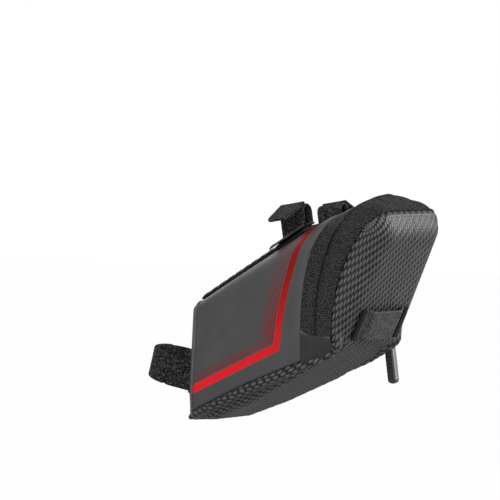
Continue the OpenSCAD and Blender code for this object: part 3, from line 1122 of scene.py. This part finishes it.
BAR_L, RIDGES_FROM, RIDGES_TO, RIDGE_PITCH = 38, 14, 30.8, 2.6
end_z = BAR_L - 4 * np.cos(np.linspace(0.1, math.pi / 2, 14))
bar_z = np.concatenate([np.linspace(0, 2, 7), np.linspace(2.5, 34, 70), end_z])
bar_end = np.clip((BAR_L - bar_z) / 2.8, 0, 1)
bar_top = np.clip((bar_z + 0.15) / 1.6, 0, 1)
ridge = 0.05 * np.clip(np.sin((bar_z - RIDGES_FROM) * 2 * math.pi / RIDGE_PITCH), 0, 1)
ridge = ridge * ((bar_z > RIDGES_FROM) & (bar_z < RIDGES_TO))
round_off = np.sqrt(np.maximum(1 - (1 - bar_end) ** 2, 1e-3))
round_off = round_off * np.sqrt(np.maximum(1 - (1 - bar_top) ** 2 * 0.7, 0))
bar_wide = round_off * (0.9 + 0.1 * np.clip(bar_z / 20, 0, 1))
bar_thick = (0.35 + 0.65 * round_off) * (0.86 + 0.14 * np.clip(bar_z / 10, 0, 1)) + ridge
bar_path = on_puller([(0, 0, -7.3 - z) for z in bar_z])
bar = sweep("puller_bar", bar_path, (1, 0, 0), rounded(6.6, 5.4, 1.1),
            scale=bar_wide, flat=bar_thick, angle=40)
keep(bar, "puller", "puller_rubber", "zip_puller")

# %% [markdown]
# Two crimped stops keep the slider on the coil.

# %% Stops
stops = []
for side in (-1, 1):
    deselect()
    bpy.ops.mesh.primitive_cube_add(size=1, location=place((119.35, side * 38.1, 64.5)))
    stop = bpy.context.object
    bpy.ops.transform.resize(value=(2.4 * MM, 2.0 * MM, 1.0 * MM))
    apply_place(stop)
    apply_modifier(stop, "BEVEL", width=0.3 * MM, segments=3)
    stops.append(smooth(stop, 40))
keep(join("stops", stops), "body", "zip_metal", "zip_stops")

# %% [markdown]
# The lining is a cup of cloth in the body and a second one in the lid. Each is a fan of
# lines on the former from its rim to the middle of its end wall, moved inwards by the
# wall's thickness.

# %% Linings
WALL_T, LINING_T = 3.1, 0.7


def lining(name, rim_x, centre, heart, body, node):
    rim_line = ring(rim_x, np.linspace(-math.pi / 2, 3 * math.pi / 2, 121))
    centre, heart = np.array(centre, float), np.array(heart, float)
    rows = [[touch(heart, p + (centre - p) * t - heart) for p in rim_line]
            for t in np.concatenate([[0, 0.015], np.linspace(0.04, 0.985, 34)])]
    net = swell(np.array(rows), -WALL_T)
    net = np.concatenate([net, np.broadcast_to(net[-1].mean(axis=0), net[-1:].shape)])
    obj = skin(name, net, thick=0)
    start_edit(obj)
    bpy.ops.mesh.remove_doubles(threshold=1e-5)
    end_edit()
    return keep(smooth(solidify(obj, LINING_T), 50), body, "lining", node)


lining("body_cloth_lining", lambda z: closing_x(z, -TAPE_W - 2.2), (0, 0, 38), (72, 0, 62),
       "body", "body_lining")
lining("lid_cloth_lining", lambda z: lid_edge_x(z) + 2.4, on_face(0, 0, 38), (128, 0, 88),
       "lid", "lid_lining")

# %% [markdown]
# The mesh pocket is one stretched sheet, sewn in across the lid, with a webbing hem along
# its open top.

# %% Mesh pocket
POCKET_FOOT, POCKET_TOP, POCKET_BOW = -8, 42, 2.2


def pocket_net(up_from, up_to, depth, count):
    """Rows across the lid between two heights, bowed away from the lid in the middle"""
    rows = []
    for up_at in np.linspace(up_from, up_to, count):
        half = touch(on_face(-depth, 0, up_at), (0, 1, 0))[1] - 3.9 - 0.2
        share = np.clip((up_at - POCKET_FOOT) / (POCKET_TOP - POCKET_FOOT), 0, 1)
        bow = POCKET_BOW * math.sin(math.pi * share)
        rows.append([on_face(-depth - bow * (1 - t * t), t * half, up_at)
                     for t in np.linspace(-1, 1, 60)])
    return np.array(rows)


mesh_net = pocket_net(POCKET_FOOT, 37, 12.3, 34)
mesh_pocket = skin("mesh_pocket", mesh_net, thick=0.45)
hem_net = pocket_net(36, POCKET_TOP, 11.9, 10)
hem_net = swell(hem_net, 0.2 - roll(edge_distance(hem_net, "uU"), 0.5, 0.6))
hem = skin("pocket_hem", hem_net, thick=1.3)
keep(mesh_pocket, "lid", "mesh", "lid_mesh_pocket")
keep(hem, "lid", "webbing", "mesh_pocket_hem")
flat_wide = float(np.mean([lengths(row)[-1] for row in mesh_net])) * MM
flat_long = float(lengths(mesh_net[:, 30])[-1]) * MM
print(f"mesh pocket cut: {flat_wide * 1000:.1f} x {flat_long * 1000:.1f} mm")

# %% [markdown]
# Each patch is sewn down with a box of stitches, a few net lines in from its edges.

# %% Box stitches on the sewn patches
INSET, THREAD_LIFT = 3, 0.15


def box_stitch(name, net):
    rows, cols = net.shape[0] - 1 - INSET, net.shape[1] - 1 - INSET
    loop = [(INSET, k) for k in range(INSET, cols)] + [(k, cols) for k in range(INSET, rows)]
    loop += [(rows, k) for k in range(cols, INSET, -1)]
    loop += [(k, INSET) for k in range(rows, INSET - 1, -1)]
    normals = outward(net)
    lifted = net + normals * THREAD_LIFT
    return stitch_row(name, [lifted[at] for at in loop], [normals[at] for at in loop], "body")


box_stitch("post_patch_stitches", anchor)
for side, word in SIDES:
    box_stitch(f"{word}_rail_patch_stitches", pad_patch(side))

# %% [markdown]
# Finishes. A number that a node gives out is wrapped, so that patterns can be written as
# plain sums, and each sum adds its own Math node. Patterns read either Object coordinates,
# which are metres from the seat post, or the pieces' own unrolled UVs.

# %% Helpers for nodes
def sum_with(operation, swapped=False):
    def run(self, *other):
        return calc(operation, *other, self) if swapped else calc(operation, self, *other)
    return run


class Value:
    """What a node gives out, ready for sums"""

    def __init__(self, tree, socket):
        self.tree, self.socket = tree, socket

    __add__ = __radd__ = sum_with("ADD")
    __mul__ = __rmul__ = sum_with("MULTIPLY")
    __sub__, __rsub__ = sum_with("SUBTRACT"), sum_with("SUBTRACT", swapped=True)
    __truediv__, __rtruediv__ = sum_with("DIVIDE"), sum_with("DIVIDE", swapped=True)
    __lt__, __gt__ = sum_with("LESS_THAN"), sum_with("GREATER_THAN")
    floor, fract = sum_with("FLOOR"), sum_with("FRACT")
    sine, size = sum_with("SINE"), sum_with("ABSOLUTE")


def feed(socket, value):
    if isinstance(value, Value):
        value.tree.links.new(value.socket, socket)
    else:
        socket.default_value = value


def calc(operation, *values, clamp=False):
    tree = next(value.tree for value in values if isinstance(value, Value))
    node = tree.nodes.new("ShaderNodeMath")
    node.operation, node.use_clamp = operation, clamp
    for socket, value in zip(node.inputs, values):
        feed(socket, value)
    return Value(tree, node.outputs[0])


def blend_colour(amount, first, second):
    node = amount.tree.nodes.new("ShaderNodeMix")
    node.data_type = "RGBA"
    feed(node.inputs["Factor"], amount)
    feed(node.inputs["A"], first)
    feed(node.inputs["B"], second)
    return Value(amount.tree, node.outputs["Result"])


def ramp(value, low, high, to_low=0.0, to_high=1.0):
    node = value.tree.nodes.new("ShaderNodeMapRange")
    node.interpolation_type = "SMOOTHSTEP"
    for socket, item in zip(node.inputs, (value, low, high, to_low, to_high)):
        feed(socket, item)
    return Value(value.tree, node.outputs[0])


def noise(vector, scale, detail=3.0, rough=0.55):
    node = vector.tree.nodes.new("ShaderNodeTexNoise")
    settings = {"Vector": vector, "Scale": scale, "Detail": detail, "Roughness": rough}
    for label, item in settings.items():
        feed(node.inputs[label], item)
    return Value(vector.tree, node.outputs["Fac"])


def split(vector):
    node = vector.tree.nodes.new("ShaderNodeSeparateXYZ")
    feed(node.inputs[0], vector)
    return [Value(vector.tree, socket) for socket in node.outputs]


def node_group(name, inputs, outputs):
    """inputs: {label: default}, None for a vector; outputs: [label]"""
    tree = bpy.data.node_groups.new(name, "ShaderNodeTree")
    for label, value in inputs.items():
        kind = "NodeSocketVector" if value is None else "NodeSocketFloat"
        socket = tree.interface.new_socket(label, in_out="INPUT", socket_type=kind)
        if value is not None:
            socket.default_value = value
    for label in outputs:
        tree.interface.new_socket(label, in_out="OUTPUT", socket_type="NodeSocketFloat")
    start, end = tree.nodes.new("NodeGroupInput"), tree.nodes.new("NodeGroupOutput")
    print(f"node group {name}: gives {', '.join(outputs)}")
    return tree, {label: Value(tree, start.outputs[label]) for label in inputs}, end.inputs

# %% [markdown]
# Three effects are shared by many materials, so each is a node group that gives out only
# heights and masks. The first is the pebbled grain of coated cloth and rubber: soft round
# cells with a finer noise on top.

# %% Group: leather-like grain
grain, take, give = node_group("grain", {"Vector": None, "Size": 0.8}, ["Height", "Tone"])
cells_scale = 1000.0 / take["Size"]
cells = grain.nodes.new("ShaderNodeTexVoronoi")
cells.feature = "SMOOTH_F1"
for label, value in (("Smoothness", 0.6), ("Vector", take["Vector"]), ("Scale", cells_scale)):
    feed(cells.inputs[label], value)
pebble = Value(grain, cells.outputs["Distance"]) * -0.8
fine = noise(take["Vector"], cells_scale * 2.3, 2.0)
feed(give["Height"], pebble + (fine * 0.35 + 0.6))
feed(give["Tone"], noise(take["Vector"], 55.0, 4.0, 0.6))

# %% [markdown]
# The second is a plain weave: threads that go over and under each other in turn, each
# crossing a little lighter or darker than the next.

# %% Group: plain weave of round threads
weave, take, give = node_group("weave", {"Vector": None, "Pitch": 1.0, "Skew": 0.0},
                               ["Height", "Tone"])
u, v, _ = split(take["Vector"])
per_metre = 1000.0 / take["Pitch"]
u = u * per_metre
v = v * per_metre + u * take["Skew"]
odd = calc("PINGPONG", u.floor() + v.floor(), 1.0)
over = odd * (u * math.pi).sine().size()
under = (1.0 - odd) * (v * math.pi).sine().size()
feed(give["Height"], over + under * 0.75)
fibre = weave.nodes.new("ShaderNodeTexWhiteNoise")
fibre.noise_dimensions = "2D"
crossing = weave.nodes.new("ShaderNodeCombineXYZ")
feed(crossing.inputs[0], u.floor())
feed(crossing.inputs[1], v.floor())
feed(fibre.inputs["Vector"], Value(weave, crossing.outputs[0]))
feed(give["Tone"], Value(weave, fibre.outputs["Value"]))

# %% [markdown]
# The third is light wear: a mask of rubbed places, and smudges that change the gloss.

# %% Group: dust and rubbed places
wear, take, give = node_group("wear", {"Vector": None, "Amount": 0.5}, ["Mask", "Smudge"])
large = noise(take["Vector"], 26.0, 5.0, 0.65)
small = noise(take["Vector"], 900.0, 2.0)
feed(give["Mask"], take["Amount"] * ramp(large, 0.5, 0.78))
feed(give["Smudge"], small * 0.4 + large * 0.6)

# %% [markdown]
# Every material starts as one principled shader. Its colours are display greys from 0 to
# 255, turned into linear light, so that cloth can be matched to cloth by eye.

# %% Start of a material
def grey(tone):
    """Linear colour of a display grey from 0 to 255"""
    value = (tone / 255) ** 2.2
    return (value, value, value, 1)


def material(name, tone, rough, coords="Object", **shader):
    made = bpy.data.materials.new(name)
    made.use_nodes = True
    tree = made.node_tree
    tree.nodes.clear()
    out = tree.nodes.new("ShaderNodeOutputMaterial")
    surface = tree.nodes.new("ShaderNodeBsdfPrincipled")
    tree.links.new(surface.outputs[0], out.inputs[0])
    surface.inputs["Base Color"].default_value = grey(tone)
    surface.inputs["Roughness"].default_value = rough
    for label, value in shader.items():
        surface.inputs[label.replace("_", " ")].default_value = value
    print("material", name)
    return made, surface.inputs, coordinates(tree, coords)


def coordinates(tree, coords="Object"):
    return Value(tree, tree.nodes.new("ShaderNodeTexCoord").outputs[coords])


def use(group, vector, **values):
    """What a node group gives out at a place"""
    node = vector.tree.nodes.new("ShaderNodeGroup")
    node.node_tree = group
    feed(node.inputs["Vector"], vector)
    for label, value in values.items():
        node.inputs[label].default_value = value
    return {socket.name: Value(vector.tree, socket) for socket in node.outputs}


def bump(surface, height, depth):
    """Bump of a height from 0 to 1 that stands for depth in millimetres"""
    node = height.tree.nodes.new("ShaderNodeBump")
    node.inputs["Distance"].default_value = depth * MM
    node.inputs["Strength"].default_value = 1.0
    feed(node.inputs["Height"], height)
    feed(surface["Normal"], Value(height.tree, node.outputs[0]))


def shade(surface, amount, low, high):
    """Base colour that runs between two display greys"""
    feed(surface["Base Color"], blend_colour(amount, grey(low), grey(high)))


finishes = {}

# %% [markdown]
# The panels are a coated cloth with a fine grain and a soft sheen. The side panels carry
# a printed chevron: a band that follows the zip and turns forward along the foot, with
# thin lines inside it that break up into dots. The print is a distance from the band's
# middle line, so its lines stay parallel round the corner.

# %% Panel cloth and its print
TURN_X, TURN_Z = 88.0, 56.7            # where the upright arm starts
ARM_LEAN, ARM_CURVE = 0.0983, 0.002716
FOOT_RISE, FOOT_START = 0.4005, 19.15  # the lower arm is a straight line in the side view
ROW_PITCH, DOT_PITCH = 1.75, 2.6
BAND_RED, TOP_RED = (0.56, 0.008, 0.014, 1), (0.16, 0.002, 0.003, 1)
DOT_RED = (0.17, 0.004, 0.006, 1)


def with_chevron(colour, where):
    x, _, z = split(where)
    x, z = x * 1000.0 + POST_AT[0], z * 1000.0 + POST_AT[2]
    rise = z - TURN_Z
    upright = rise * (rise * ARM_CURVE + ARM_LEAN) + TURN_X - x
    lower = (z - (x * FOOT_RISE + FOOT_START)) * 0.95
    band = ramp(calc("SMOOTH_MIN", upright, lower, 2.2).size(), 2.75, 3.05, 1.0, 0.0)
    # The thin rows lie inside the band: lines along the foot, dots up the arm
    from_arm, from_foot = upright * 0.68 - 2.3, lower - 3.9
    on_arm = from_arm < from_foot
    step = calc("SMOOTH_MIN", from_arm, from_foot, 0.6) / ROW_PITCH
    in_row = (step.fract() - 0.5).size()
    in_dot = ((z / DOT_PITCH + step.floor() * 0.5).fract() - 0.5).size()
    dots = in_row + in_dot * 0.55 < ramp(z, 62.0, 118.0, 0.5, 0.26) * 0.9
    marks = on_arm * dots + (1.0 - on_arm) * (in_row < 0.2)
    marks = marks * (step > 0.0) * (step < ramp(on_arm, 0.0, 1.0, 3.0, 5.0))
    colour = blend_colour(marks * ramp(step, 0.0, 6.5, 0.9, 0.35), colour, DOT_RED)
    return blend_colour(band, colour, blend_colour(ramp(z, 20.0, 120.0), BAND_RED, TOP_RED))


def panel_cloth(name, printed):
    made, surface, where = material(name, 70, 0.55, Specular_IOR_Level=0.15)
    texture, rubbed = use(grain, where, Size=0.75), use(wear, where, Amount=0.25)
    colour = blend_colour(texture["Tone"] * 0.6 + rubbed["Mask"], grey(61), grey(76))
    if printed:
        colour = with_chevron(colour, where)
    feed(surface["Base Color"], colour)
    feed(surface["Roughness"], ramp(rubbed["Smudge"], 0.3, 0.7, 0.5, 0.66))
    bump(surface, texture["Height"], 0.02)
    return made


finishes["panel_cloth"] = panel_cloth("coated_cloth", False)
printed_cloth = panel_cloth("printed_cloth", True)

# %% [markdown]
# The shell is moulded foam under a glossy film. The strands of the pressed weave are real
# relief. The material adds fibre lines along each strand and scuffs, and paints each float
# light in its middle and dark at its edges, between strands and in the unders: partly the
# film's own weave tone, partly painted highlight and painted shade.

# %% Moulded shell
made, surface, where = material("moulded_film", 30, 0.3, coords="UV", Specular_IOR_Level=0.35)
u, v, _ = split(where)
u, v = u / (STRAND * MM), v / (STRAND * MM)
along = calc("FLOORED_MODULO", v - u.floor(), 3.0)
is_float = along < FLOAT
ends = calc("MAXIMUM", (along * (math.pi / FLOAT)).sine(), 0.0)
lens = (u.fract() * math.pi).sine() * is_float * calc("POWER", ends, 0.5)
FIBRE_TURN = 2 * math.pi * STRAND / 0.45
fibres = (u * FIBRE_TURN).sine() * is_float + (v * FIBRE_TURN).sine() * (1.0 - is_float)
rubbed = use(wear, coordinates(made.node_tree), Amount=0.2)
# Base colour follows the floats: light in their middles, dark at their edges and in the unders,
# partly the film's own weave tone and partly painted highlight and painted shade
tone = calc("ADD", lens * 0.85, fibres * 0.05 + rubbed["Mask"], clamp=True)
shade(surface, calc("POWER", tone, 1.3), 10, 92)
feed(surface["Roughness"], ramp(rubbed["Smudge"], 0.3, 0.75, 0.42, 0.56))
bump(surface, lens * 0.9 + fibres * 0.02, 0.25)
finishes["moulded_shell"] = made

# %% [markdown]
# The zip's tapes are a fine herringbone, black with light flecks on the crests of its ribs:
# painted highlights where the raised threads catch the light.

# %% Zip tapes
made, surface, where = material("zip_weave", 30, 0.85, coords="UV", Specular_IOR_Level=0.1)
u, v, _ = split(where)
twill_line = ((v + calc("PINGPONG", u, 2.1 * MM)) / (1.15 * MM)).fract()
rib = (twill_line * math.pi).sine()
spot = noise(where, 2300.0, 2.0, 0.7)
# Light flecks only where a rib's crest meets a noise spot: painted highlight on the raised
# threads
shade(surface, ramp(rib, 0.5, 1.0) * ramp(spot, 0.48, 0.62), 6, 112)
bump(surface, rib + spot * 0.6, 0.12)
finishes["zip_tape"] = made

# %% [markdown]
# Webbing, lining, piping and thread are all plain weave at different pitches; a skewed
# weave looks like twisted yarn. Each thread is painted lighter where it stands up and darker
# between threads, as painted shade.

# %% Woven pieces
def woven(name, low, high, pitch, depth, rough, skew=0.0):
    made, surface, where = material(name, low, rough, coords="UV", Specular_IOR_Level=0.2)
    threads = use(weave, where, Pitch=pitch, Skew=skew)
    rubbed = use(wear, coordinates(made.node_tree), Amount=0.3)
    uneven = threads["Tone"] * 0.45 + rubbed["Mask"]
    # Raised threads painted lighter and the hollows between them darker, a painted shade; the
    # rest is each crossing's own tone and wear
    amount = calc("ADD", threads["Height"] * 0.4, uneven, clamp=True)
    shade(surface, amount, low, high)
    bump(surface, threads["Height"], depth)
    return made


finishes["webbing"] = woven("webbing_weave", 4, 84, 1.5, 0.25, 0.62)
finishes["lining"] = woven("lining_weave", 84, 124, 0.7, 0.08, 0.7)
finishes["piping"] = woven("piping_weave", 44, 100, 0.5, 0.05, 0.5, skew=0.5)
finishes["thread"] = woven("thread_twist", 60, 96, 0.4, 0.05, 0.6, skew=1.0)
# A much darker copy of the webbing for the light loop's folded ends: painted shade for the shadow
# along each end
fold_painted_shade = woven("fold_webbing_painted_shade", 2, 24, 0.8, 0.1, 0.7)

# %% [markdown]
# The loop side of the straps is a pile of tiny nylon curls: the edges of small cells. The
# curls are painted bright where tufts stand up, a painted highlight on the raised pile.

# %% Hook-and-loop tape
made, surface, where = material("loop_pile", 30, 0.9, Specular_IOR_Level=0.15)
curls = made.node_tree.nodes.new("ShaderNodeTexVoronoi")
curls.feature = "DISTANCE_TO_EDGE"
feed(curls.inputs["Vector"], where)
feed(curls.inputs["Scale"], 1250.0)
curl = ramp(Value(made.node_tree, curls.outputs["Distance"]), 0.0, 0.28, 1.0, 0.0)
tuft = noise(where, 700.0, 4.0, 0.7)
# Bright on the raised curls and tufts: painted highlight
shade(surface, curl * ramp(tuft, 0.4, 0.68), 8, 92)
bump(surface, curl + tuft, 0.3)
finishes["hook_loop"] = made

# %% [markdown]
# Rubber, the patches' coating and the coils' nylon share one recipe: a grain, and a gloss
# that changes where fingers have rubbed it.

# %% Rubber, patches and coils
def rubber(name, low, high, rough, size, depth, **shader):
    made, surface, where = material(name, low, rough, **shader)
    texture, rubbed = use(grain, where, Size=size), use(wear, where, Amount=0.45)
    shade(surface, calc("ADD", texture["Tone"] * 0.5, rubbed["Mask"], clamp=True), low, high)
    feed(surface["Roughness"], ramp(rubbed["Smudge"], 0.3, 0.75, rough - 0.08, rough + 0.08))
    bump(surface, texture["Height"], depth)
    return made


finishes["grip_rubber"] = rubber("grip_rubber", 10, 26, 0.45, 0.5, 0.03, Specular_IOR_Level=0.3)
finishes["puller_rubber"] = rubber("puller_rubber", 40, 62, 0.42, 0.5, 0.02)
finishes["end_patch"] = rubber("patch_coating", 36, 54, 0.4, 0.7, 0.03, Specular_IOR_Level=0.35)
finishes["zip_coil"] = rubber("coil_nylon", 44, 74, 0.35, 0.3, 0.01)

# %% [markdown]
# The slider and the stops are cast metal with a dark plating, rubbed brighter by use.

# %% Slider metal
made, surface, where = material("dark_plating", 60, 0.34, Metallic=1.0)
rubbed = use(wear, where, Amount=1.0)
scratch = noise(where, 2600.0, 2.0)
shade(surface, calc("ADD", rubbed["Mask"], scratch * 0.3, clamp=True), 70, 140)
feed(surface["Roughness"], ramp(scratch, 0.3, 0.7, 0.26, 0.45))
bump(surface, scratch, 0.01)
finishes["zip_metal"] = made

# %% [markdown]
# The pocket's mesh is knitted with open cells. The holes are cut by Alpha from the piece's
# own unrolled lengths, so that they keep their size.

# %% Mesh
CELL = 1.3 * MM
made, surface, where = material("open_mesh", 34, 0.75, coords="UV", Specular_IOR_Level=0.2)
u, v, _ = split(where)
a, b = calc("PINGPONG", u + v * 0.6, CELL), calc("PINGPONG", u - v * 0.6, CELL)
from_thread = calc("MINIMUM", a, b) / MM
feed(surface["Alpha"], ramp(from_thread, 0.42, 0.5, 1.0, 0.0))
shade(surface, noise(where, 1800.0, 2.0), 24, 60)
bump(surface, ramp(from_thread, 0.0, 0.45, 1.0, 0.0), 0.2)
finishes["mesh"] = made

# %% [markdown]
# Each piece takes the finish of its slot. Only the side panels, which are printed, and the
# folded webbing ends, which take a darker copy of the webbing as painted shade, differ from
# the rest of their slot.

# %% Each piece gets its finish
shell["slot"] = "moulded_shell"
for obj in [*pieces.values(), shell]:
    obj.data.materials.clear()
    finish = finishes[obj["slot"]]
    if obj.name in ("right_side_cloth", "left_side_cloth"):
        finish = printed_cloth
    # The folded ends take the darkened webbing, a painted shade
    elif obj.name.startswith("loop_fold"):
        finish = fold_painted_shade
    obj.data.materials.append(finish)
    print(f"{obj.name}: {finish.name}")

# %% [markdown]
# The former has done its work. The camera stands behind the bag on its left, a little
# above it, with a long lens.

# %% Camera
bpy.data.objects.remove(former)

AZ, EL = math.radians(36), math.radians(2)
LENS, DISTANCE, VIEW_WIDTH = 85, 2.4, 0.3448
back = np.array([math.sin(AZ) * math.cos(EL), -math.cos(AZ) * math.cos(EL), math.sin(EL)])
right = np.array([math.cos(AZ), math.sin(AZ), 0])
up = np.cross(back, right)
front_foot = place((0, -HALF_FRONT, 0))
aim = front_foot + right * 0.0438 + up * 0.1172
camera_data = bpy.data.cameras.new("camera")
camera = bpy.data.objects.new("camera", camera_data)
bpy.context.scene.collection.objects.link(camera)
camera_data.lens = LENS
camera_data.sensor_width = LENS * VIEW_WIDTH / DISTANCE
camera_data.clip_end = 20
camera.location = aim + back * DISTANCE
camera.rotation_euler = Vector(back).to_track_quat("Z", "Y").to_euler()
bpy.context.scene.camera = camera
print(f"camera {DISTANCE} m away, {VIEW_WIDTH * 1000:.0f} mm across the picture")

# %% [markdown]
# The bag hangs over a sheet of white paper in a white room. To the camera both are plain
# white; to the bag they give only a soft, dim light, so that its blacks stay black.

# %% Paper and room
WORLD_LIGHT, PAPER_GREY, PAPER_GLOW, FLOOR_Z = 0.4, 0.4, 0.985, -0.125
deselect()
bpy.ops.mesh.primitive_plane_add(size=8, location=(0, 0, FLOOR_Z))
floor = bpy.context.object
floor.name = "floor"
paper = bpy.data.materials.new("white_paper")
paper.use_nodes = True
nodes, links = paper.node_tree.nodes, paper.node_tree.links
nodes.clear()
out = nodes.new("ShaderNodeOutputMaterial")
mix = nodes.new("ShaderNodeMixShader")
diffuse = nodes.new("ShaderNodeBsdfDiffuse")
diffuse.inputs["Color"].default_value = (PAPER_GREY, PAPER_GREY, PAPER_GREY, 1)
glow = nodes.new("ShaderNodeEmission")
glow.inputs["Strength"].default_value = 1.0
ray = nodes.new("ShaderNodeLightPath").outputs
feed(mix.inputs[0], Value(paper.node_tree, ray["Is Camera Ray"]) * PAPER_GLOW)
links.new(diffuse.outputs[0], mix.inputs[1])
links.new(glow.outputs[0], mix.inputs[2])
links.new(mix.outputs[0], out.inputs[0])
floor.data.materials.append(paper)

world = bpy.data.worlds.new("studio")
bpy.context.scene.world = world
world.use_nodes = True
room = world.node_tree
room.nodes.clear()
out = room.nodes.new("ShaderNodeOutputWorld")
light = room.nodes.new("ShaderNodeBackground")
light.inputs["Color"].default_value = (1, 1, 1, 1)
ray = room.nodes.new("ShaderNodeLightPath").outputs
seen = calc("MAXIMUM", Value(room, ray["Is Camera Ray"]), Value(room, ray["Is Transmission Ray"]))
feed(light.inputs["Strength"], seen * (1.0 - WORLD_LIGHT) + WORLD_LIGHT)
room.links.new(light.outputs[0], out.inputs[0])

# %% [markdown]
# The main lamp is broad and stands behind the bag on its right, which puts the light on
# the lid. The others fill the left side, the shell's low rim and the front.

# %% Lamps
MIDDLE = (0.1, 0, 0.04)


def lamp(name, spot, size, power):
    data = bpy.data.lights.new(name, "AREA")
    data.size, data.energy = size, power
    obj = bpy.data.objects.new(name, data)
    bpy.context.scene.collection.objects.link(obj)
    obj.location = spot
    obj.rotation_euler = (Vector(spot) - Vector(MIDDLE)).to_track_quat("Z", "Y").to_euler()
    print(f"{name}: {power} W")


lamp("rear_lamp", (1.35, 1.0, 0.5), 1.1, 38)
lamp("left_lamp", (0.3, -1.25, 1.1), 0.9, 22)
lamp("low_lamp", (0.75, -1.3, 0.08), 0.35, 7)
lamp("front_lamp", (-1.3, 0.7, 0.9), 1.0, 12)
bpy.context.scene.view_settings.view_transform = "Standard"
